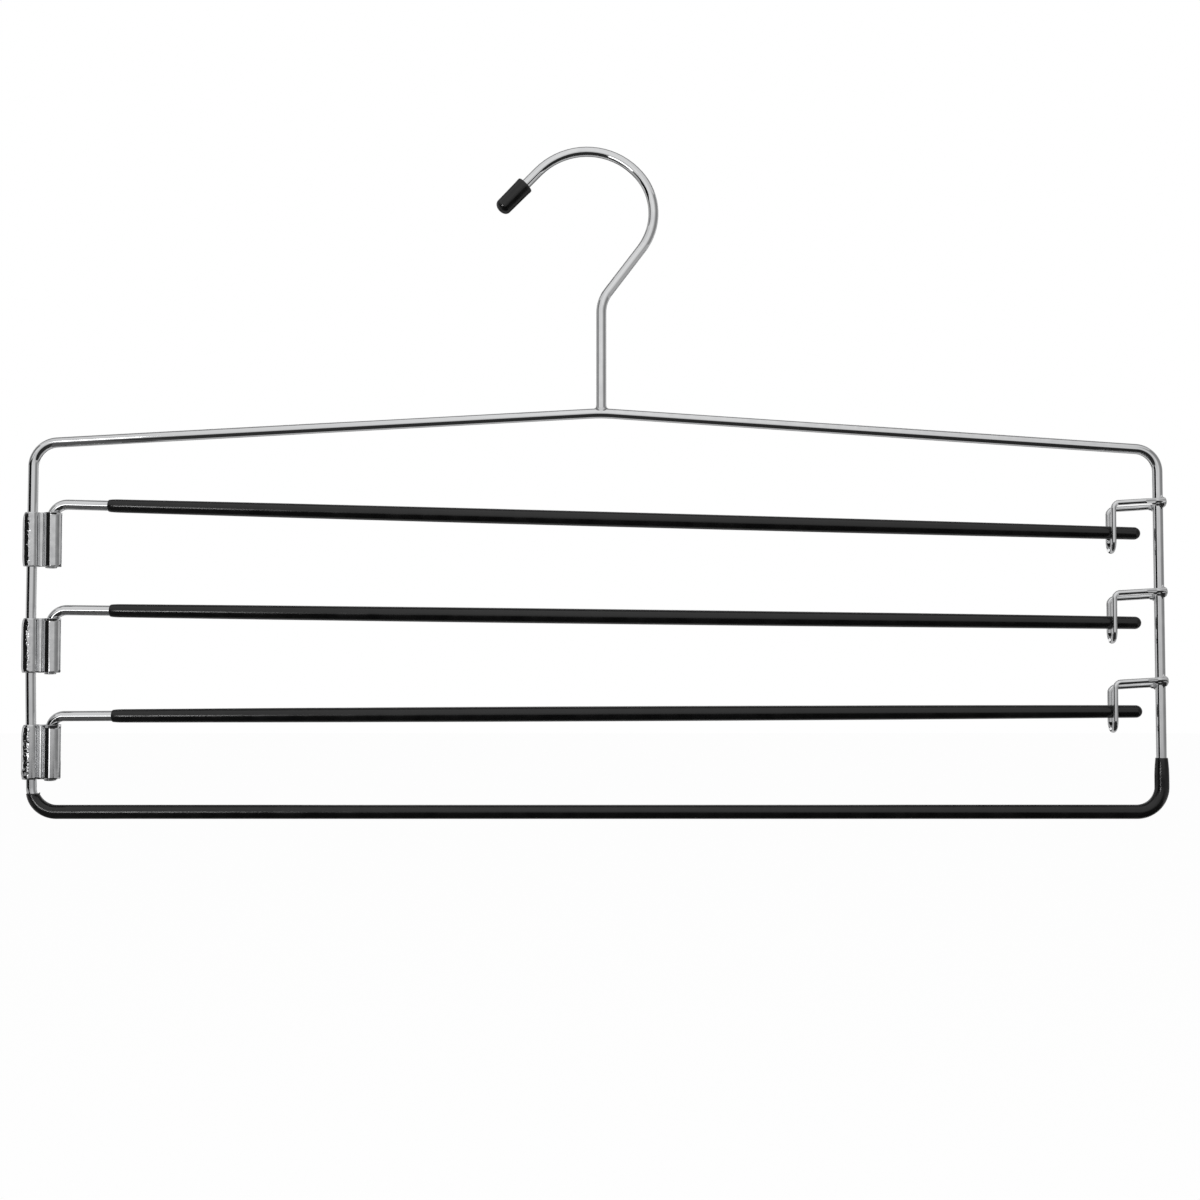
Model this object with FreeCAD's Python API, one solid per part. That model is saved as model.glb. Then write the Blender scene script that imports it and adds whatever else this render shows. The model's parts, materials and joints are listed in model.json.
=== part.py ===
"""Folding trouser hanger: a welded wire frame with a hook, and three sleeved arms that swing out.

Millimetres, +Z up, +X towards the free ends of the arms, -Y towards the front.
The origin is the line inside the hook's crown where it hangs on a rail.
Each arm turns on its own bent-down end in a folded sheet clip. The clip has a little play on the
frame's left upright, so the arm's free end can be lifted out of its wire keeper before it swings.
"""

import FreeCAD, Part
import math
import os
from FreeCAD import Vector

# Wire stock
frame_wire_diameter = 3.5
keeper_wire_diameter = 1.8

# Hook, measured on the wire's centre line
hook_crown_radius = 24.1
hook_side_radius = 20.5
hook_blend_angle = 41.0
hook_slant_angle = 37.3
hook_neck_radius = 11.8
hook_shank_offset = 5.0
hook_tip_angle = 135.6
hook_tip_length = 17.2
hook_weld_height = 1.1
hook_weld_flare = 0.7

# Soft cap on the hook's end
cap_mouth_diameter = 6.2
cap_end_diameter = 5.8
cap_length = 13.0
cap_wall_at_end = 1.8
cap_end_radius = 1.7
cap_mouth_radius = 0.5

# Frame loop, measured on the wire's centre line
apex_drop = 90.0
apex_offset = 2.0
apex_radius = 60.0
frame_width = 391.0
frame_height = 138.1
left_shoulder_drop = 10.7
right_shoulder_drop = 13.05
shoulder_radius = 7.0
left_foot_radius = 8.6
right_foot_radius = 7.0

# Soft sleeve on the frame's bottom bar, with the height of each end above the bar
bottom_sleeve_diameter = 4.9
bottom_sleeve_left_rise = 6.4
bottom_sleeve_right_rise = 18.6
sleeve_lip_radius = 0.3

# Hinge clips: a strip folded round the upright and round the arm's pin
clip_height = 18.8
clip_reach = 7.45
strip_thickness = 0.8
strip_layer_gap = 0.1
strip_seam_gap = 0.4
clip_valley_radius = 0.9
clip_rim_radius = 0.5
upright_clearance = 0.45
pin_clearance = 0.1
mouth_clearance = 0.15
mouth_margin = 0.4
dimple_diameter = 1.7
dimple_gap = 0.06
dimple_dent_depth = 0.35
upper_clip_shoulder_gap = 17.0
lower_clip_foot_gap = 2.6

# Arms: pin, bend and bar in one wire, with the droop of each bar in degrees
arm_bend_radius = 4.0
arm_bend_sink = 1.1
arm_tip_gap = 6.7
upper_bar_droop = 1.55
middle_bar_droop = 0.68
lower_bar_droop = -0.25
pin_head_diameter = 4.6
pin_head_thickness = 0.9
pin_head_radius = 0.35
pin_head_gap = 0.15

# Soft sleeves on the arms, a little thicker at mid-length, with each start measured from the pin's axis
upper_sleeve_start = 18.3
middle_sleeve_start = 19.4
lower_sleeve_start = 20.3
arm_sleeve_root_diameter = 4.45
arm_sleeve_middle_diameter = 5.1
arm_sleeve_tip_diameter = 4.25
arm_sleeve_root_radius = 0.4
arm_sleeve_tip_wall = 1.0
arm_sleeve_crown_steps = 8
sleeve_bond_gap = 0.02

# Keepers: a wire hairpin welded to the front and back of the right upright
keeper_rise = 10.2
keeper_reach = 16.9
keeper_depth = 16.6
keeper_slope = 3.5
keeper_level_step = 1.8
keeper_corner_radius = 2.0
keeper_jog_radius = 3.0
keeper_jog_length = 3.6
keeper_bar_clearance = 0.3
keeper_tip_clearance = 0.8
keeper_weld_sink = 0.25
keeper_end_overrun = 1.5
keeper_weld_diameter = 2.5
keeper_weld_height = 3.6
keeper_weld_round = 0.8
keeper_weld_shift = 0.9
keeper_weld_proud = 0.15

LEVELS = ("upper", "middle", "lower")
BAR_DROOPS = (upper_bar_droop, middle_bar_droop, lower_bar_droop)
SLEEVE_STARTS = (upper_sleeve_start, middle_sleeve_start, lower_sleeve_start)
UP = Vector(0, 0, 1)
TOLERANCE = 1e-6

# Places worked out from the sizes above
frame_wire_radius = frame_wire_diameter / 2
keeper_wire_radius = keeper_wire_diameter / 2
crown_height = frame_wire_radius
frame_middle_x = hook_shank_offset - apex_offset
left_upright_x = frame_middle_x - frame_width / 2
right_upright_x = frame_middle_x + frame_width / 2
apex = Vector(hook_shank_offset, 0, -apex_drop)
bottom_bar_z = -apex_drop - frame_height
left_shoulder = Vector(left_upright_x, 0, -apex_drop - left_shoulder_drop)
right_shoulder = Vector(right_upright_x, 0, -apex_drop - right_shoulder_drop)
left_foot = Vector(left_upright_x, 0, bottom_bar_z)
right_foot = Vector(right_upright_x, 0, bottom_bar_z)
bottom_middle = Vector(frame_middle_x, 0, bottom_bar_z)
right_rail_middle = (apex + right_shoulder) * 0.5
pin_x = left_upright_x + clip_reach
bar_rise = arm_bend_radius - arm_bend_sink
arm_tip_x = right_upright_x - arm_tip_gap
keeper_leg_x = right_upright_x - keeper_reach
upper_clip_z = left_shoulder.z - shoulder_radius - upper_clip_shoulder_gap - clip_height / 2
lower_clip_z = bottom_bar_z + left_foot_radius + lower_clip_foot_gap + clip_height / 2


def clip_centre_z(index):
    """Height of a clip's middle, with the three clips evenly spaced down the upright."""
    return upper_clip_z + (lower_clip_z - upper_clip_z) * index / (len(LEVELS) - 1)


def keeper_level_z(index):
    """Height where a keeper's two wires meet the upright, midway between them."""
    start, ahead = bar_line(index)
    return start.z + (keeper_leg_x - pin_x) * ahead.z / ahead.x + keeper_rise


def polar(centre, radius, degrees):
    """Point in the XZ plane at an angle from +X towards +Z."""
    angle = math.radians(degrees)
    return centre + Vector(radius * math.cos(angle), 0, radius * math.sin(angle))


def corner_arc(before, corner, after, radius):
    """Arc that rounds a corner of a path, as (first point, arc edge, last point)."""
    back = (before - corner).normalize()
    ahead = (after - corner).normalize()
    half_turn = back.getAngle(ahead) / 2
    cut = radius / math.tan(half_turn)
    first = corner + back * cut
    last = corner + ahead * cut
    bisector = (back + ahead).normalize()
    middle = corner + bisector * (radius / math.sin(half_turn) - radius)
    return first, Part.Arc(first, middle, last).toShape(), last


def bent_path(points, radii):
    """Wire through the points, each inner corner rounded by its own radius."""
    edges = []
    start = points[0]
    for i, radius in enumerate(radii, 1):
        first, arc, last = corner_arc(points[i - 1], points[i], points[i + 1], radius)
        edges.append(Part.LineSegment(start, first).toShape())
        edges.append(arc)
        start = last
    edges.append(Part.LineSegment(start, points[-1]).toShape())
    return Part.Wire(edges)


def rod(path, radius):
    """Round solid of one radius along a path."""
    edge = path.OrderedEdges[0]
    start = path.OrderedVertexes[0].Point
    ahead = edge.tangentAt(edge.getParameterByLength(0.0))
    if (edge.valueAt(edge.FirstParameter) - start).Length > TOLERANCE:
        ahead = edge.tangentAt(edge.LastParameter) * -1
    section = Part.Wire(Part.makeCircle(radius, start, ahead))
    return path.makePipeShell([section], True, False)


def turned(points, axis_start, axis):
    """Solid turned from a closed outline, given as edges, about an axis."""
    face = Part.Face(Part.Wire(points))
    return face.revolve(axis_start, axis, 360)


def line(a, b):
    """Straight edge."""
    return Part.LineSegment(a, b).toShape()


def quarter_round(centre, radius, from_direction, to_direction):
    """Quarter-circle edge round a centre, between two square directions."""
    middle = (from_direction + to_direction).normalize()
    arc = Part.Arc(
        centre + from_direction * radius, centre + middle * radius, centre + to_direction * radius
    )
    return arc.toShape()


def frame_loop(radius):
    """The closed frame loop as a solid of the given wire radius, in two bent lengths joined end to end."""
    right_part = bent_path(
        [bottom_middle, right_foot, right_shoulder, right_rail_middle], [right_foot_radius, shoulder_radius]
    )
    left_part = bent_path(
        [right_rail_middle, apex, left_shoulder, left_foot, bottom_middle],
        [apex_radius, shoulder_radius, left_foot_radius],
    )
    return rod(right_part, radius).fuse(rod(left_part, radius)).removeSplitter()


def hook_rod():
    """Shank, neck, slanted run, two arcs over the rail and a straight tip, with the end of its tip."""
    crown_centre = Vector(0, 0, crown_height - hook_crown_radius)
    side_centre = polar(crown_centre, hook_crown_radius - hook_side_radius, hook_blend_angle)
    side_end = polar(side_centre, hook_side_radius, -hook_slant_angle)
    slant = math.radians(hook_slant_angle)
    slant_length = (side_end.x - hook_shank_offset) / math.sin(slant)
    neck_corner = side_end - Vector(math.sin(slant), 0, math.cos(slant)) * slant_length
    first, neck_arc, last = corner_arc(apex, neck_corner, side_end, hook_neck_radius)
    blend = polar(crown_centre, hook_crown_radius, hook_blend_angle)
    tip_start = polar(crown_centre, hook_crown_radius, hook_tip_angle)
    side_middle = polar(side_centre, hook_side_radius, (hook_blend_angle - hook_slant_angle) / 2)
    crown_middle = polar(crown_centre, hook_crown_radius, (hook_blend_angle + hook_tip_angle) / 2)
    tip_end = tip_start + hook_tip_direction() * hook_tip_length
    path = Part.Wire(
        [
            line(apex, first),
            neck_arc,
            line(last, side_end),
            Part.Arc(side_end, side_middle, blend).toShape(),
            Part.Arc(blend, crown_middle, tip_start).toShape(),
            line(tip_start, tip_end),
        ]
    )
    return rod(path, frame_wire_radius), tip_end


def hook_tip_direction():
    """Direction in which the hook's straight tip points."""
    angle = math.radians(hook_tip_angle)
    return Vector(-math.sin(angle), 0, math.cos(angle))


def hook_weld(frame, hook):
    """Fillet of weld round the foot of the hook's shank, on the frame's apex."""
    rail_top = apex.z + frame_wire_radius
    flare = Part.makeCone(
        frame_wire_radius + hook_weld_flare,
        frame_wire_radius,
        frame_wire_radius + hook_weld_height,
        Vector(apex.x, 0, rail_top - frame_wire_radius),
        UP,
    )
    return flare.cut(frame).cut(hook)


def tip_cap(tip_end):
    """Blind soft cap pushed over the hook's tip, with a rounded end and a softened mouth."""
    along = hook_tip_direction()
    across = Vector(along.z, 0, -along.x)
    end = tip_end + along * cap_wall_at_end
    mouth = end - along * cap_length
    bore = frame_wire_radius + sleeve_bond_gap
    mouth_radius = cap_mouth_diameter / 2
    end_radius = cap_end_diameter / 2
    seat = tip_end + along * sleeve_bond_gap
    mouth_centre = mouth + across * (mouth_radius - cap_mouth_radius) + along * cap_mouth_radius
    end_centre = end + across * (end_radius - cap_end_radius) - along * cap_end_radius
    outline = [
        line(mouth + across * bore, mouth_centre - along * cap_mouth_radius),
        quarter_round(mouth_centre, cap_mouth_radius, along * -1, across),
        line(mouth_centre + across * cap_mouth_radius, end_centre + across * cap_end_radius),
        quarter_round(end_centre, cap_end_radius, across, along),
        line(end_centre + along * cap_end_radius, end),
        line(end, seat),
        line(seat, seat + across * bore),
        line(seat + across * bore, mouth + across * bore),
    ]
    return turned(outline, mouth, along)


def bottom_sleeve():
    """Soft sleeve along the bottom bar and a little way up both uprights, cut level at both ends."""
    spare = bottom_sleeve_diameter
    left_top = left_foot + UP * (max(bottom_sleeve_left_rise, left_foot_radius) + spare)
    right_top = right_foot + UP * (max(bottom_sleeve_right_rise, right_foot_radius) + spare)
    path = bent_path([left_top, left_foot, right_foot, right_top], [left_foot_radius, right_foot_radius])
    sleeve = rod(path, bottom_sleeve_diameter / 2)
    for foot, rise in ((left_foot, bottom_sleeve_left_rise), (right_foot, bottom_sleeve_right_rise)):
        corner = foot + Vector(-bottom_sleeve_diameter, -bottom_sleeve_diameter, rise)
        above = Part.makeBox(2 * bottom_sleeve_diameter, 2 * bottom_sleeve_diameter, frame_height, corner)
        sleeve = sleeve.cut(above)
    sleeve = sleeve.cut(rod(path, frame_wire_radius + sleeve_bond_gap))
    lips = [e for e in sleeve.Edges if is_level(e) and e.Length > math.pi * bottom_sleeve_diameter * 0.9]
    return sleeve.makeFillet(sleeve_lip_radius, lips)


def is_level(edge):
    """True where an edge lies in one horizontal plane."""
    return edge.BoundBox.ZLength < TOLERANCE


def hinge_clip(index):
    """Strip folded round the upright and the arm's pin: two tubes joined by a two-layer web."""
    centre_z = clip_centre_z(index)
    low = centre_z - clip_height / 2
    upright_bore = frame_wire_radius + upright_clearance
    pin_bore = frame_wire_radius + pin_clearance
    web_half = strip_thickness + strip_layer_gap / 2
    upright_foot = Vector(left_upright_x, 0, low)
    pin_foot = Vector(pin_x, 0, low)
    shell = Part.makeCylinder(upright_bore + strip_thickness, clip_height, upright_foot, UP)
    shell = shell.fuse(Part.makeCylinder(pin_bore + strip_thickness, clip_height, pin_foot, UP))
    web = Part.makeBox(clip_reach, 2 * web_half, clip_height, upright_foot - Vector(0, web_half, 0))
    shell = shell.fuse(web).removeSplitter()
    valleys = [e for e in shell.Edges if is_valley(e, web_half)]
    shell = shell.makeFillet(clip_valley_radius, valleys)
    rims = [e for e in shell.Edges if is_level(e) and e.BoundBox.XMin < left_upright_x - frame_wire_radius]
    shell = shell.makeFillet(clip_rim_radius, rims)
    shell = shell.cut(Part.makeCylinder(upright_bore, clip_height, upright_foot, UP))
    shell = shell.cut(Part.makeCylinder(pin_bore, clip_height, pin_foot, UP))
    depth, flare = mouth_size()
    mouth_foot = pin_foot + UP * (clip_height - depth)
    shell = shell.cut(Part.makeCone(pin_bore, pin_bore + flare, depth, mouth_foot, UP))
    layer_slit = upright_foot - Vector(0, strip_layer_gap / 2, 0)
    shell = shell.cut(Part.makeBox(clip_reach, strip_layer_gap, clip_height, layer_slit))
    seam_slit = pin_foot - Vector(0, strip_seam_gap / 2, 0)
    shell = shell.cut(Part.makeBox(clip_reach, strip_seam_gap, clip_height, seam_slit))
    for side in (-1, 1):
        shell = crimp_dimple(shell, centre_z, side, upright_bore)
    return shell


def mouth_size():
    """Depth and flare of a clip's mouth that leave room for the arm's bend to turn in it."""
    steepest = math.radians(90 + max(BAR_DROOPS)) / 2
    reach = arm_bend_radius * math.tan(steepest) - bar_rise
    inner_radius = arm_bend_radius - frame_wire_radius
    bulge = inner_radius - math.sqrt(inner_radius**2 - reach**2)
    return reach + mouth_margin, bulge + mouth_clearance


def is_valley(edge, web_half):
    """True for an upright edge where the clip's web runs into one of its tubes."""
    box = edge.BoundBox
    return box.ZLength > clip_height / 2 and abs(abs(box.YMin) - web_half) < TOLERANCE and is_flat_in_y(box)


def is_flat_in_y(box):
    """True where a box has no thickness from front to back."""
    return box.YLength < TOLERANCE


def crimp_dimple(shell, centre_z, side, upright_bore):
    """The clip with one punched dimple that pinches the upright, on the front or the back."""
    outward = Vector(0, side, 0)
    axis_point = Vector(left_upright_x, 0, centre_z)
    nose = axis_point + outward * (frame_wire_radius + dimple_gap)
    boss_length = upright_bore + strip_thickness / 2 - frame_wire_radius - dimple_gap
    boss = Part.makeCylinder(dimple_diameter / 2, boss_length, nose, outward)
    upright = Part.makeCylinder(
        frame_wire_radius + dimple_gap, clip_height, axis_point - UP * (clip_height / 2), UP
    )
    skin = axis_point + outward * (upright_bore + strip_thickness - dimple_dent_depth)
    dent = Part.makeCone(
        dimple_diameter / 4, dimple_diameter / 2, 2 * dimple_dent_depth, skin, outward
    )
    return shell.fuse(boss.cut(upright)).cut(dent)


def bar_line(index):
    """Start of a bar's axis above its pin, and the direction of the bar."""
    droop = math.radians(BAR_DROOPS[index])
    start = Vector(pin_x, 0, clip_centre_z(index) + clip_height / 2 + bar_rise)
    return start, Vector(math.cos(droop), 0, -math.sin(droop))


def bar_length(index):
    """Length of a bar along its axis, from the pin's axis to the tip of its sleeve."""
    ahead = bar_line(index)[1]
    return (arm_tip_x - pin_x) / ahead.x


def arm_wire(index):
    """Arm wire: headed pin, one bend and a straight bar that ends inside the sleeve's tip."""
    corner, ahead = bar_line(index)
    pin_foot = Vector(pin_x, 0, clip_centre_z(index) - clip_height / 2 - pin_head_gap)
    bar_end = corner + ahead * (bar_length(index) - arm_sleeve_tip_wall)
    wire = rod(bent_path([pin_foot, corner, bar_end], [arm_bend_radius]), frame_wire_radius)
    head_foot = pin_foot - UP * pin_head_thickness
    head = Part.makeCylinder(pin_head_diameter / 2, pin_head_thickness, head_foot, UP)
    head = head.makeFillet(pin_head_radius, [e for e in head.Edges if is_level(e)])
    return wire.fuse(head).removeSplitter()


def sleeve_arc(index):
    """Outer line of an arm's sleeve as three (distance from the pin's axis, radius) points."""
    first = SLEEVE_STARTS[index] + arm_sleeve_root_radius
    last = bar_length(index) - arm_sleeve_tip_diameter / 2
    return (
        (first, arm_sleeve_root_diameter / 2),
        ((first + last) / 2, arm_sleeve_middle_diameter / 2),
        (last, arm_sleeve_tip_diameter / 2),
    )


def sleeve_radius_at(distance, index):
    """Radius of an arm's sleeve at a distance from the pin's axis, on one shallow curve from end to end."""
    (first, root), (middle, crown), (last, tip) = sleeve_arc(index)
    place = (distance - middle) / (last - middle)
    return crown + place * (tip - root) / 2 + place**2 * ((tip + root) / 2 - crown)


def arm_sleeve(index):
    """Soft sleeve of a bar, crowned along its length, with a rounded root lip and a closed round tip."""
    start, along = bar_line(index)
    across = Vector(-along.z, 0, along.x)
    length = bar_length(index)
    mouth = SLEEVE_STARTS[index]
    bore = frame_wire_radius + sleeve_bond_gap
    seat = length - arm_sleeve_tip_wall + sleeve_bond_gap

    def at(distance, radius):
        return start + along * distance + across * radius

    root, _, tip = sleeve_arc(index)
    step = (tip[0] - root[0]) / arm_sleeve_crown_steps
    places = [root[0] + step * i for i in range(arm_sleeve_crown_steps + 1)]
    crown = [at(place, sleeve_radius_at(place, index)) for place in places]
    root_centre = at(root[0], root[1] - arm_sleeve_root_radius)
    tip_centre = at(tip[0], 0)
    outline = [
        line(at(mouth, bore), at(mouth, root[1] - arm_sleeve_root_radius)),
        quarter_round(root_centre, arm_sleeve_root_radius, along * -1, across),
        *[line(a, b) for a, b in zip(crown, crown[1:])],
        quarter_round(tip_centre, tip[1], across, along),
        line(at(length, 0), at(seat, 0)),
        line(at(seat, 0), at(seat, bore)),
        line(at(seat, bore), at(mouth, bore)),
    ]
    return turned(outline, start, along)


def keeper_leg_offset(index):
    """Distance of a keeper's legs from the middle plane, clear of the sleeved bar between them."""
    bar_radius = sleeve_radius_at(bar_length(index) - (arm_tip_x - keeper_leg_x), index)
    return bar_radius + keeper_bar_clearance + keeper_wire_radius


def keeper(index, frame):
    """Wire hairpin: two runs from the upright, two legs down and a round foot under the bar."""
    level = keeper_level_z(index)
    legs = keeper_leg_offset(index)
    weld = frame_wire_radius + keeper_wire_radius - keeper_weld_sink
    fall = math.tan(math.radians(keeper_slope))
    jog_start_x = arm_tip_x + keeper_tip_clearance
    jog_end_x = jog_start_x + keeper_jog_length
    foot = level - keeper_depth

    def half(side):
        top = level - side * keeper_level_step / 2

        def at(x, offset):
            return Vector(x, side * offset, top - (right_upright_x - x) * fall)

        return [
            at(right_upright_x + keeper_end_overrun, weld),
            at(jog_end_x, weld),
            at(jog_start_x, legs),
            at(keeper_leg_x, legs),
            Vector(keeper_leg_x, side * legs, foot + legs),
        ]

    radii = [keeper_jog_radius, keeper_jog_radius, keeper_corner_radius]
    front = bent_path(half(-1), radii)
    back = bent_path(half(1)[::-1], radii[::-1])
    round_foot = Part.Arc(half(-1)[-1], Vector(keeper_leg_x, 0, foot), half(1)[-1]).toShape()
    path = Part.Wire(front.OrderedEdges + [round_foot] + back.OrderedEdges)
    return rod(path, keeper_wire_radius).cut(frame)


def keeper_welds(index, frame, keeper_shape):
    """Two beads of weld, where a keeper's ends cross the front and the back of the upright."""
    beads = []
    for side in (-1, 1):
        level = keeper_level_z(index) - side * keeper_level_step / 2
        proud = side * (frame_wire_radius + keeper_weld_proud)
        centre = Vector(right_upright_x + keeper_weld_shift, proud, level)
        bead = Part.makeCylinder(
            keeper_weld_diameter / 2, keeper_weld_height, centre - UP * (keeper_weld_height / 2), UP
        )
        bead = bead.makeFillet(keeper_weld_round, [e for e in bead.Edges if is_level(e)])
        beads.append(bead.cut(frame).cut(keeper_shape))
    return Part.Compound([solid for bead in beads for solid in bead.Solids])


def build():
    """All pieces by node name."""
    frame = frame_loop(frame_wire_radius)
    hook, tip_end = hook_rod()
    hook = hook.cut(frame)
    hook = max(hook.Solids, key=lambda solid: solid.Volume)
    pieces = {
        "frame_wire": frame,
        "bottom_bar_sleeve": bottom_sleeve(),
        "hook_wire": hook,
        "hook_weld": hook_weld(frame, hook),
        "hook_tip_cap": tip_cap(tip_end),
    }
    for index, level in enumerate(LEVELS):
        keeper_shape = keeper(index, frame)
        pieces[level + "_hinge_clip"] = hinge_clip(index)
        pieces[level + "_arm_wire"] = arm_wire(index)
        pieces[level + "_arm_sleeve"] = arm_sleeve(index)
        pieces[level + "_keeper"] = keeper_shape
        pieces[level + "_keeper_welds"] = keeper_welds(index, frame, keeper_shape)
    return pieces


def main():
    os.makedirs("parts", exist_ok=True)
    for name, shape in build().items():
        solids = shape.Solids
        print(name, len(solids), "solids", round(shape.Volume, 2), "mm3", "valid", shape.isValid())
        shape.exportStep(os.path.join("parts", name + ".step"))


main()
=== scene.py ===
"""Looks of a folding trouser hanger: chromed wire, folded clips and black vinyl grips in a white studio.

Metres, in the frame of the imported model: +Z up, +X towards the arms' free ends, -Y towards the front.
"""

import json
import logging
import math
from dataclasses import dataclass
from enum import Enum
from typing import Callable, Sequence

import bmesh
import bpy
import numpy as np
from mathutils import Matrix, Vector

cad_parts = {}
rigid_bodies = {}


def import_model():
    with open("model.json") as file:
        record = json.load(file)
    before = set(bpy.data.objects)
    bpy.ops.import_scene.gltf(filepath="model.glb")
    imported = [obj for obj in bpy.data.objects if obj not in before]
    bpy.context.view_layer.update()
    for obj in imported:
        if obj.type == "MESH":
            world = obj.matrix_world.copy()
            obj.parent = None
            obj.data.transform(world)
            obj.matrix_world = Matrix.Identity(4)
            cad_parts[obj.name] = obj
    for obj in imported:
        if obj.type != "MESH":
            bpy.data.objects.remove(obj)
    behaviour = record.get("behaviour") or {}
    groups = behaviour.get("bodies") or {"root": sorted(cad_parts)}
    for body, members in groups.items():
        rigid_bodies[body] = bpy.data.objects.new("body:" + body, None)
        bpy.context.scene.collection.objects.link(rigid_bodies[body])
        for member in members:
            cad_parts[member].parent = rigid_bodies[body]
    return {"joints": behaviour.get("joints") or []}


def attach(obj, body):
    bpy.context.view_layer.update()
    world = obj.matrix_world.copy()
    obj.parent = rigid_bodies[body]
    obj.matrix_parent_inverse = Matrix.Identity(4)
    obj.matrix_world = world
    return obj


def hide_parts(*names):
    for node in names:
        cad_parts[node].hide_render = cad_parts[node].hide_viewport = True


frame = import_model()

LOG = logging.getLogger("trouser_hanger")
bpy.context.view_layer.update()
MM = 0.001
NEAR = 1e-7
MERGE_DISTANCE = 1e-6
SEAT_GAP = 0.02 * MM
BEND_STEP = math.radians(5.0)
SMOOTH_ANGLE = math.radians(35.0)
WIRE_SIDES = 48
SMALL_SIDES = 40
THIN_WIRE_SIDES = 32
PATTERN_LOW = 0.3
PATTERN_HIGH = 0.7
ALONG_X = Vector((1.0, 0.0, 0.0))
ALONG_Y = Vector((0.0, 1.0, 0.0))
UP = Vector((0.0, 0.0, 1.0))


class Level(Enum):
    """The three swing arms, from the top down."""

    UPPER = "upper"
    MIDDLE = "middle"
    LOWER = "lower"


class Slot(Enum):
    """The record's material slots."""

    WIRE = "chromed_wire"
    STRIP = "chromed_strip"
    WELD = "chromed_weld"
    GRIP = "black_sleeve"
    CAP = "black_cap"


class Ends(Enum):
    """How the two ends of a bent length of stock are finished."""

    FILLED = "filled"
    JOINED = "joined"
    OPEN = "open"


def deselect_all() -> None:
    """Leave edit mode and select nothing, so that the next operator acts on its own piece alone."""
    if bpy.context.object and bpy.context.object.mode != "OBJECT":
        bpy.ops.object.mode_set(mode="OBJECT")
    bpy.ops.object.select_all(action="DESELECT")


def select_alone(piece: bpy.types.Object) -> None:
    """Leave edit mode and select one piece alone, as the active one.

    Args:
        piece: The piece.
    """
    deselect_all()
    piece.select_set(True)
    bpy.context.view_layer.objects.active = piece


def select_points(piece: bpy.types.Object, wanted: Callable[[Vector], bool]) -> None:
    """Select the points of a piece in edit mode that pass a test, with the edges and faces between them.

    Args:
        piece: The piece that is in edit mode.
        wanted: Says of a point's place whether it is selected.
    """
    mesh = bmesh.from_edit_mesh(piece.data)
    mesh.select_mode = {"VERT"}
    chosen = [point for point in mesh.verts if wanted(point.co)]
    for point in mesh.verts:
        point.select = False
    for point in chosen:
        point.select = True
    mesh.select_flush_mode()
    bmesh.update_edit_mesh(piece.data)


def close_shell(piece: bpy.types.Object) -> None:
    """Merge doubles, turn all faces outwards and smooth the piece, leaving object mode.

    Args:
        piece: The piece that is in edit mode.
    """
    bpy.ops.mesh.select_all(action="SELECT")
    bpy.ops.mesh.remove_doubles(threshold=MERGE_DISTANCE)
    bpy.ops.mesh.normals_make_consistent(inside=False)
    bpy.ops.object.mode_set(mode="OBJECT")
    smooth(piece)


def smooth(piece: bpy.types.Object) -> None:
    """Shade a piece smooth, with its sharp edges kept.

    Args:
        piece: The piece, in object mode.
    """
    select_alone(piece)
    bpy.ops.object.shade_smooth_by_angle(angle=SMOOTH_ANGLE)


def apply_modifier(piece: bpy.types.Object, kind: str, **settings: object) -> None:
    """Add one modifier to a piece and apply it.

    Args:
        piece: The piece, in object mode.
        kind: The modifier's type.
        settings: The modifier's own settings.
    """
    select_alone(piece)
    modifier = piece.modifiers.new(kind.lower(), kind)
    for name, value in settings.items():
        setattr(modifier, name, value)
    bpy.ops.object.modifier_apply(modifier=modifier.name)


def displace(
    piece: bpy.types.Object, strength: float, weight: Callable[[Vector], float], **settings: object
) -> None:
    """Push a piece's skin in or out by a weight that depends on the place.

    Args:
        piece: The piece, in object mode.
        strength: How far the skin moves outwards where the weight is 1.
        weight: Gives the weight of a place.
        settings: Further settings of the modifier, such as its texture.
    """
    group = piece.vertex_groups.new(name="pushed")
    for point in piece.data.vertices:
        group.add([point.index], weight(point.co), "REPLACE")
    flat = {} if "texture" in settings else {"mid_level": 0.0}
    apply_modifier(piece, "DISPLACE", strength=strength, vertex_group=group.name, **flat, **settings)
    piece.vertex_groups.clear()


def moved_copy(piece: bpy.types.Object, name: str, shift: Vector) -> bpy.types.Object:
    """Copy a piece with its own mesh, moved within that mesh.

    Args:
        piece: The piece that repeats.
        name: The copy's name.
        shift: How far the copy lies from the piece.

    Returns:
        The copy.
    """
    copy = piece.copy()
    copy.data = piece.data.copy()
    copy.name = copy.data.name = name
    copy.data.transform(Matrix.Translation(shift))
    bpy.context.scene.collection.objects.link(copy)
    return copy


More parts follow.
